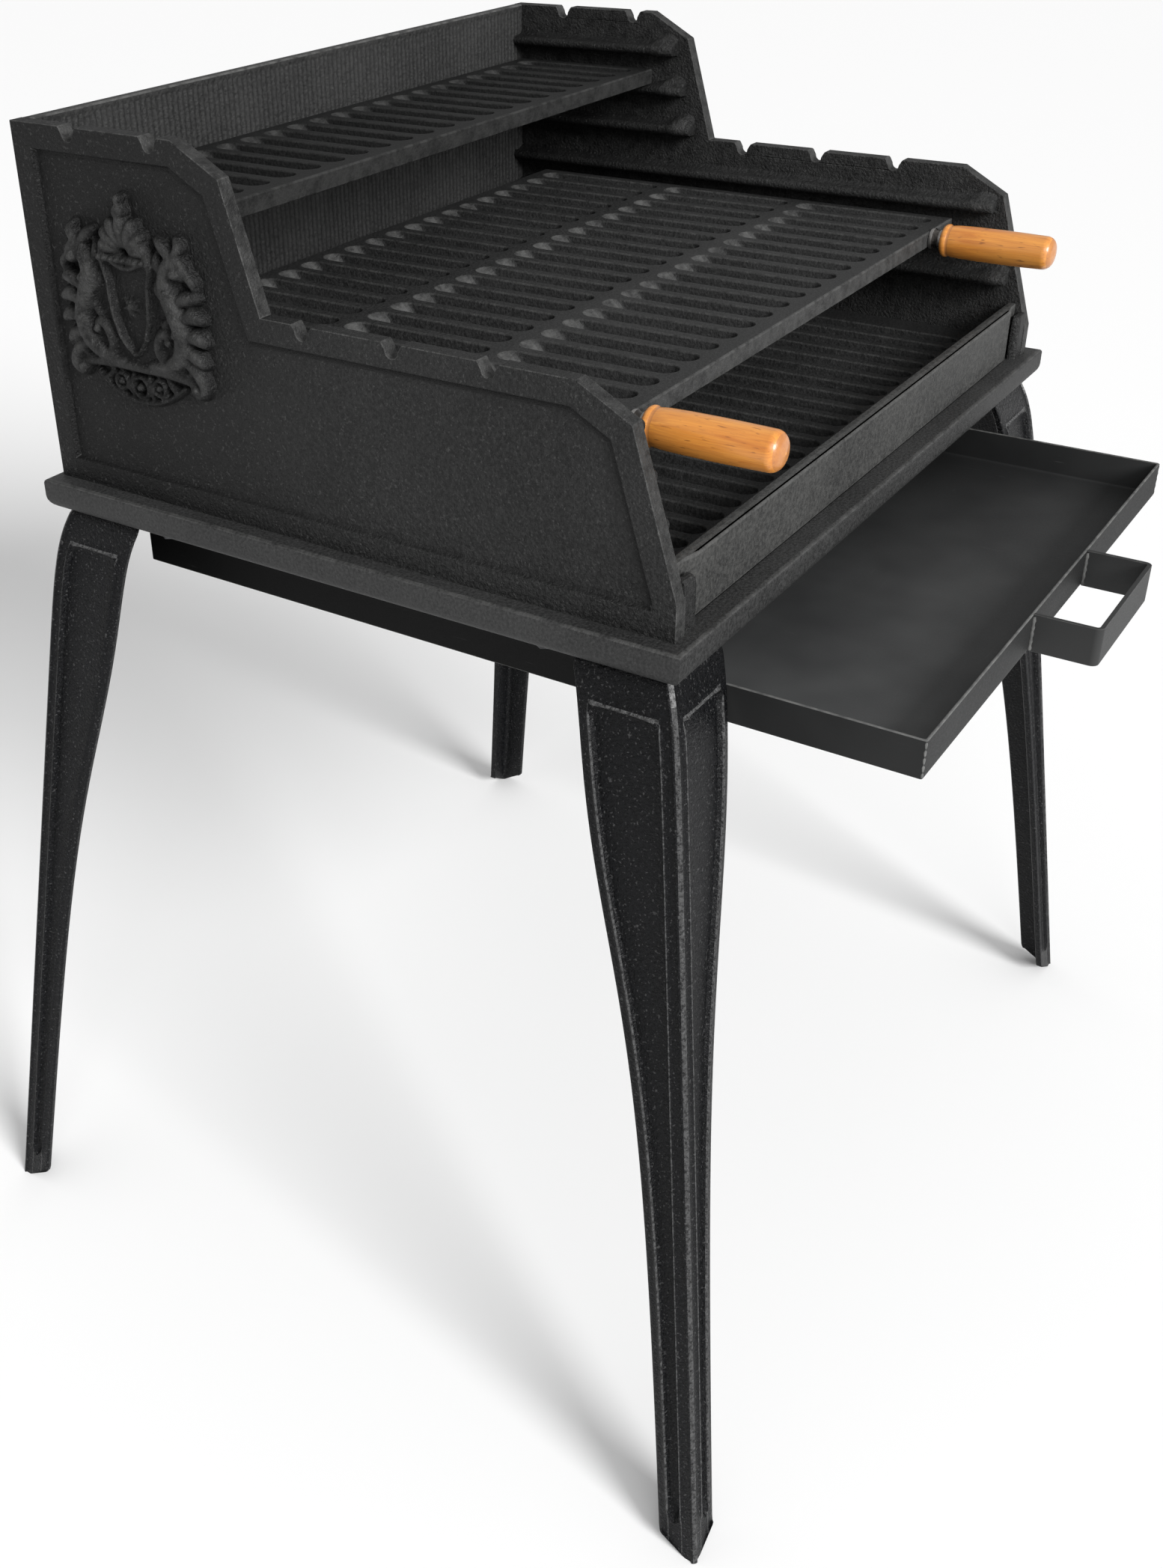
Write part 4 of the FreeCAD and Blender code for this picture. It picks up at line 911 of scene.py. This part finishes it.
def build_tray_handle():
    """A flat bar bent to a square loop, with a small weld down each end."""
    low, high = corners("ash_tray_handle")
    wall, outer = 3.0, 5.0
    plan = [(low.x, high.y)] + arc((low.x + outer, low.y + outer), outer, 180, 270, 5)
    plan += arc((high.x - outer, low.y + outer), outer, 270, 360, 5) + [(high.x, high.y)]
    plan += [(high.x - wall, high.y)] + arc((high.x - outer, low.y + outer), outer - wall, 360, 270, 4)
    plan += arc((low.x + outer, low.y + outer), outer - wall, 270, 180, 4) + [(low.x + wall, high.y)]
    shell = Shell()
    prism(shell, plan, low.z, high.z)
    fit("tray_handle_strap", shell, strap_sheet, "ash_tray", "sheet_steel", ["ash_tray_handle"],
        bevel=0.5, sharp=60)
    beads = Shell()
    for x in (low.x - 0.2, low.x + wall + 0.2, high.x + 0.2, high.x - wall - 0.2):
        weld(beads, x, high.y - 0.6, low.z + 1.2, high.z - 1.2, 17, (1.3, 0.3, 1.9), 0.6)
    fit("tray_handle_welds", beads, strap_sheet, "ash_tray", "sheet_steel")


def build_guide(hand, side):
    """A folded strip with rounded bends: flange, web and shelf."""
    node = f"tray_guide_{hand}"
    low, high = corners(node)
    wall, web, cut_back = 3.0, 243.0, 33.0
    shelf_end = web - 14.0
    flange_end = max(abs(low.x), abs(high.x))
    section = [(shelf_end, low.z), (web + wall, low.z), (web + wall, high.z), (web, high.z),
               (web, low.z + wall), (shelf_end, low.z + wall)]
    shell = Shell()

    def place(x, z, y):
        return side * x, y, z

    prism(shell, section, low.y, high.y, place)
    flange = [(web + 0.5, high.z - wall), (flange_end, high.z - wall), (flange_end, high.z),
              (web + 0.5, high.z)]
    prism(shell, flange, low.y + cut_back, high.y - cut_back, place)
    fit(f"guide_strip_{hand}", shell, shaded_guide_sheet, "grill", "sheet_steel", [node], bevel=0.9, sharp=40)


# ---- legs
SWELL, SWELL_POWER, TAPER_LEVEL, TAPER_POWER = 0.09, 30, 0.33, 3.2
LEG_WALL = 7.0
LEG_TOP_WIDTH = 66.0
LEG_FOOT_WIDTH = 28.0
FRAME_INSET = 11.0
PAD_REACH = 36.0
BORDER_TIP, BORDER_RIDGE, BORDER_TOP, BORDER_FOOT = 7.0, 11.0, 24.0, 26.0


def leg_shape(down):
    """The shares of the splay and of the extra width at a share of the leg's height."""
    out = SWELL * (1 - (1 - down) ** SWELL_POWER) + (1 - SWELL) * down
    wide = 1 / (1 + (down / TAPER_LEVEL) ** TAPER_POWER)
    return out, LEG_FOOT_WIDTH + wide * (LEG_TOP_WIDTH - LEG_FOOT_WIDTH)


def panel_relief(from_tip, from_ridge, from_top, from_foot):
    """How far the face stands out from the border: a bead, then the sunk panel."""
    across = min(from_tip - BORDER_TIP, from_ridge - BORDER_RIDGE)
    down = min(from_top - BORDER_TOP, from_foot - BORDER_FOOT)
    corner = 9.0
    if across < corner and down < corner:
        depth = corner - hypot(corner - across, corner - down)
    else:
        depth = min(across, down)
    bead = 1.3 * exp(-((depth - 0.2) / 1.25) ** 2)
    share = min(1.0, max(0.0, (depth - 0.8) / 2.2))
    return bead - 2.2 * share * share * (3 - 2 * share)


def build_leg(hand, end_name, side, end):
    """An L of two arms that splay to the foot, each with a beaded, sunk panel, and a pad for its bolt."""
    node = f"leg_{end_name}_{hand}"
    low, high = corners(node)
    length = high.z - low.z
    frame_low, frame_high = corners("base_frame")
    ridge_x = frame_high.x - FRAME_INSET
    centre_y = (frame_low.y + frame_high.y) / 2
    ridge_y = (frame_high.y - frame_low.y) / 2 - FRAME_INSET
    foot_x = max(abs(low.x), abs(high.x))
    foot_y = max(abs(low.y - centre_y), abs(high.y - centre_y))
    depths = [0.0, 1.0, 2.5, 5.0, 9.0, 14.0, 19.0, 21.5, 23.0, 24.2, 25.4, 26.6, 28.0, 30.0, 33.0, 38.0]
    depths += [38.0 + (length - 78.0) * step / 46 for step in range(1, 47)]
    depths += [length - lift
               for lift in (36.0, 32.0, 29.0, 27.0, 25.5, 24.0, 21.0, 16.0, 10.0, 5.0, 2.0, 0.0)]
    shell = Shell()
    rows = []
    for depth in depths:
        out, width = leg_shape(depth / length)
        x = ridge_x + out * (foot_x - ridge_x)
        y = ridge_y + out * (foot_y - ridge_y)
        shoulder = 1.6 * max(0.0, 1 - depth / 5.0) ** 2
        width -= 5.0 * max(0.0, 1 - depth / 9.0) ** 2
        tip_side = [width - offset for offset in (0.0, 0.8, 2.4, 4.4, 5.8, 6.6, 7.4, 8.4, 9.6, 11.0)]
        ridge_side = [15.0, 13.6, 12.4, 11.4, 10.6, 9.8, 8.6, 6.6, 4.4]
        span = tip_side[-1] - ridge_side[0]
        if span < 1.5:
            squeeze = (width - 4.4) / (11.0 + 15.0 - 4.4 + 1.5)
            tip_side = [width - (width - value) * squeeze for value in tip_side]
            ridge_side = [4.4 + (value - 4.4) * squeeze for value in ridge_side]
            span = tip_side[-1] - ridge_side[0]
        inside = [tip_side[-1] - span * step / 6 for step in range(1, 6)]
        samples = tip_side + inside + ridge_side
        face = []
        for index, along in enumerate(samples):
            relief = panel_relief(width - along, along, depth, length - depth)
            rounding = {0: 2.6, 1: 1.5}.get(index, 1.25)
            face.append((along, rounding + shoulder - relief))
        corner = arc((4.4, 4.4), 4.4, -105, -165, 4)
        loop = face + [(a + shoulder * 0.7, b + shoulder * 0.7) for a, b in corner]
        loop += [(b, a) for a, b in reversed(face)]
        loop += [(LEG_WALL - 1.0, width - 0.6), (LEG_WALL, width - 2.0), (LEG_WALL, LEG_WALL + 4.0),
                 (LEG_WALL + 1.2, LEG_WALL + 1.2), (LEG_WALL + 4.0, LEG_WALL), (width - 2.0, LEG_WALL),
                 (width - 0.6, LEG_WALL - 1.0)]
        lift_reach = max(1.0, width - 9.0)
        points = []
        for a, b in loop:
            lift = 13.0 * max(0.0, (max(a, b) - 9.0) / lift_reach)
            height = max(high.z - depth, low.z + lift)
            points.append((side * (x - b), centre_y + end * (y - a), height))
        rows.append(shell.ring(points))
    ridge = set(range(len(face) + 1, len(face) + len(corner)))
    beads = {6, len(face) - 6}
    beads |= {2 * len(face) + len(corner) - 2 - index for index in beads}
    panels = set(range(7, len(face) - 6))
    panels |= set(range(len(face) + len(corner) + 5, 2 * len(face) + len(corner) - 8))
    for number, (first, second) in enumerate(zip(rows, rows[1:])):

        # painted highlights: glints on the ridge near the top, thin lines along the ridge, the side beads and
        # the panel's top bead
        def rubbed(index, *_):
            if index in ridge:
                return 0.9 if number < 5 else 0.28
            if index in beads and number > 9:
                return 0.3
            on_bead = depths[number] < BORDER_TOP + 0.3 < depths[number + 1] + 0.2
            return 0.4 if index in panels and on_bead else 0.0

        shell.quads(first, second, rubbed)
    shell.sheet(rows[0])
    shell.sheet(rows[-1])
    fit(f"{node}_casting", shell, leg_iron, "grill", "cast_leg", [node])
    pad = Shell()
    near_x, far_x = ridge_x - 3.5, ridge_x - LEG_WALL - PAD_REACH
    near_y, far_y = ridge_y - 3.5, ridge_y - LEG_WALL - PAD_REACH
    plan = [(near_x, near_y), (far_x, near_y), (far_x, far_y + 8.0), (far_x + 8.0, far_y), (near_x, far_y)]
    prism(pad, plan, high.z - 8.0, high.z, lambda a, b, z: (side * a, centre_y + end * b, z))
    fit(f"{node}_bolting_pad", pad, leg_iron, "grill", "cast_leg", bevel=1.2, sharp=40)


# ---- assembly
build_base_frame()
build_back_plate()
build_front_plate()
build_grate("fire_grate", "grill", grate_iron, 2, (26.0, 26.0, 26.0), 12.0, 24.0, 10.0, 2.0)
for node, rows, iron in (("cooking_grate", 3, grate_iron), ("warming_grate", 1, warming_iron)):
    build_grate(node, node, iron, rows, (10.0, 12.0, 10.0), 14.0, 26.0, 10.0, 11.5)
for hand, side in (("left", -1), ("right", 1)):
    build_side_plate(hand, side)
    build_handle(hand)
    build_guide(hand, side)
    build_leg(hand, "front", side, -1)
    build_leg(hand, "rear", side, 1)
build_ash_tray()
build_tray_handle()

for node in ("leg_bolts", "leg_washers", "plate_bolts", "plate_washers", "guide_screws",
             "handle_stud_left", "handle_stud_right"):
    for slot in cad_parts[node].material_slots:
        slot.material = bolt_steel


# ---- floor, light and camera
def build_stage():
    """A plain pale floor that reaches past the horizon."""
    shell = Shell()
    reach = 60000
    ring = shell.ring([(-reach, -reach, 0), (reach, -reach, 0), (reach, reach, 0), (-reach, reach, 0)])
    shell.face(ring)
    n = Nodes("pale_floor")
    n.shader.inputs["Base Color"].default_value = (0.86, 0.86, 0.86, 1.0)
    n.shader.inputs["Roughness"].default_value = 0.9
    floor = as_object("floor", shell, n.material)
    floor.modifiers.clear()


def add_lamp(name, kind, power, position, target, **settings):
    """A lamp that faces a point; the settings are its size or the sun's angle."""
    light = bpy.data.lights.new(name, kind)
    light.energy = power
    for setting, number in settings.items():
        setattr(light, setting, number)
    lamp = bpy.data.objects.new(name, light)
    lamp.location = position
    lamp.rotation_euler = (Vector(target) - Vector(position)).to_track_quat("-Z", "Y").to_euler()
    bpy.context.collection.objects.link(lamp)


def build_camera():
    """The photograph's viewpoint: from the left front, above the grates."""
    lens = bpy.data.cameras.new("camera")
    lens.sensor_fit = "AUTO"
    lens.sensor_width = 36.0
    lens.lens = 37.9
    lens.shift_x = 0.081
    lens.shift_y = -0.0437
    camera = bpy.data.objects.new("camera", lens)
    yaw, pitch, roll = radians(-54.5), radians(-30.3), radians(-1.7)
    turn = (Matrix.Rotation(yaw, 4, "Z") @ Matrix.Rotation(pi / 2 + pitch, 4, "X")
            @ Matrix.Rotation(roll, 4, "Z"))
    camera.matrix_world = Matrix.Translation((-1.0236, -0.5664, 1.0733)) @ turn
    bpy.context.collection.objects.link(camera)
    bpy.context.scene.camera = camera


build_stage()
add_lamp("key", "SUN", 4.0, (0, 0, 0), (0.30, 0.84, -0.45), angle=radians(22.0))
add_lamp("fill", "AREA", 22.0, (-2.0, -1.8, 2.6), (0.1, 0.0, 0.7), size=1.4)
world = bpy.data.worlds.new("studio")
world.use_nodes = True
world.node_tree.nodes["Background"].inputs["Color"].default_value = (1.0, 1.0, 1.0, 1.0)
world.node_tree.nodes["Background"].inputs["Strength"].default_value = 0.55
bpy.context.scene.world = world
bpy.context.scene.view_settings.view_transform = "Standard"
build_camera()
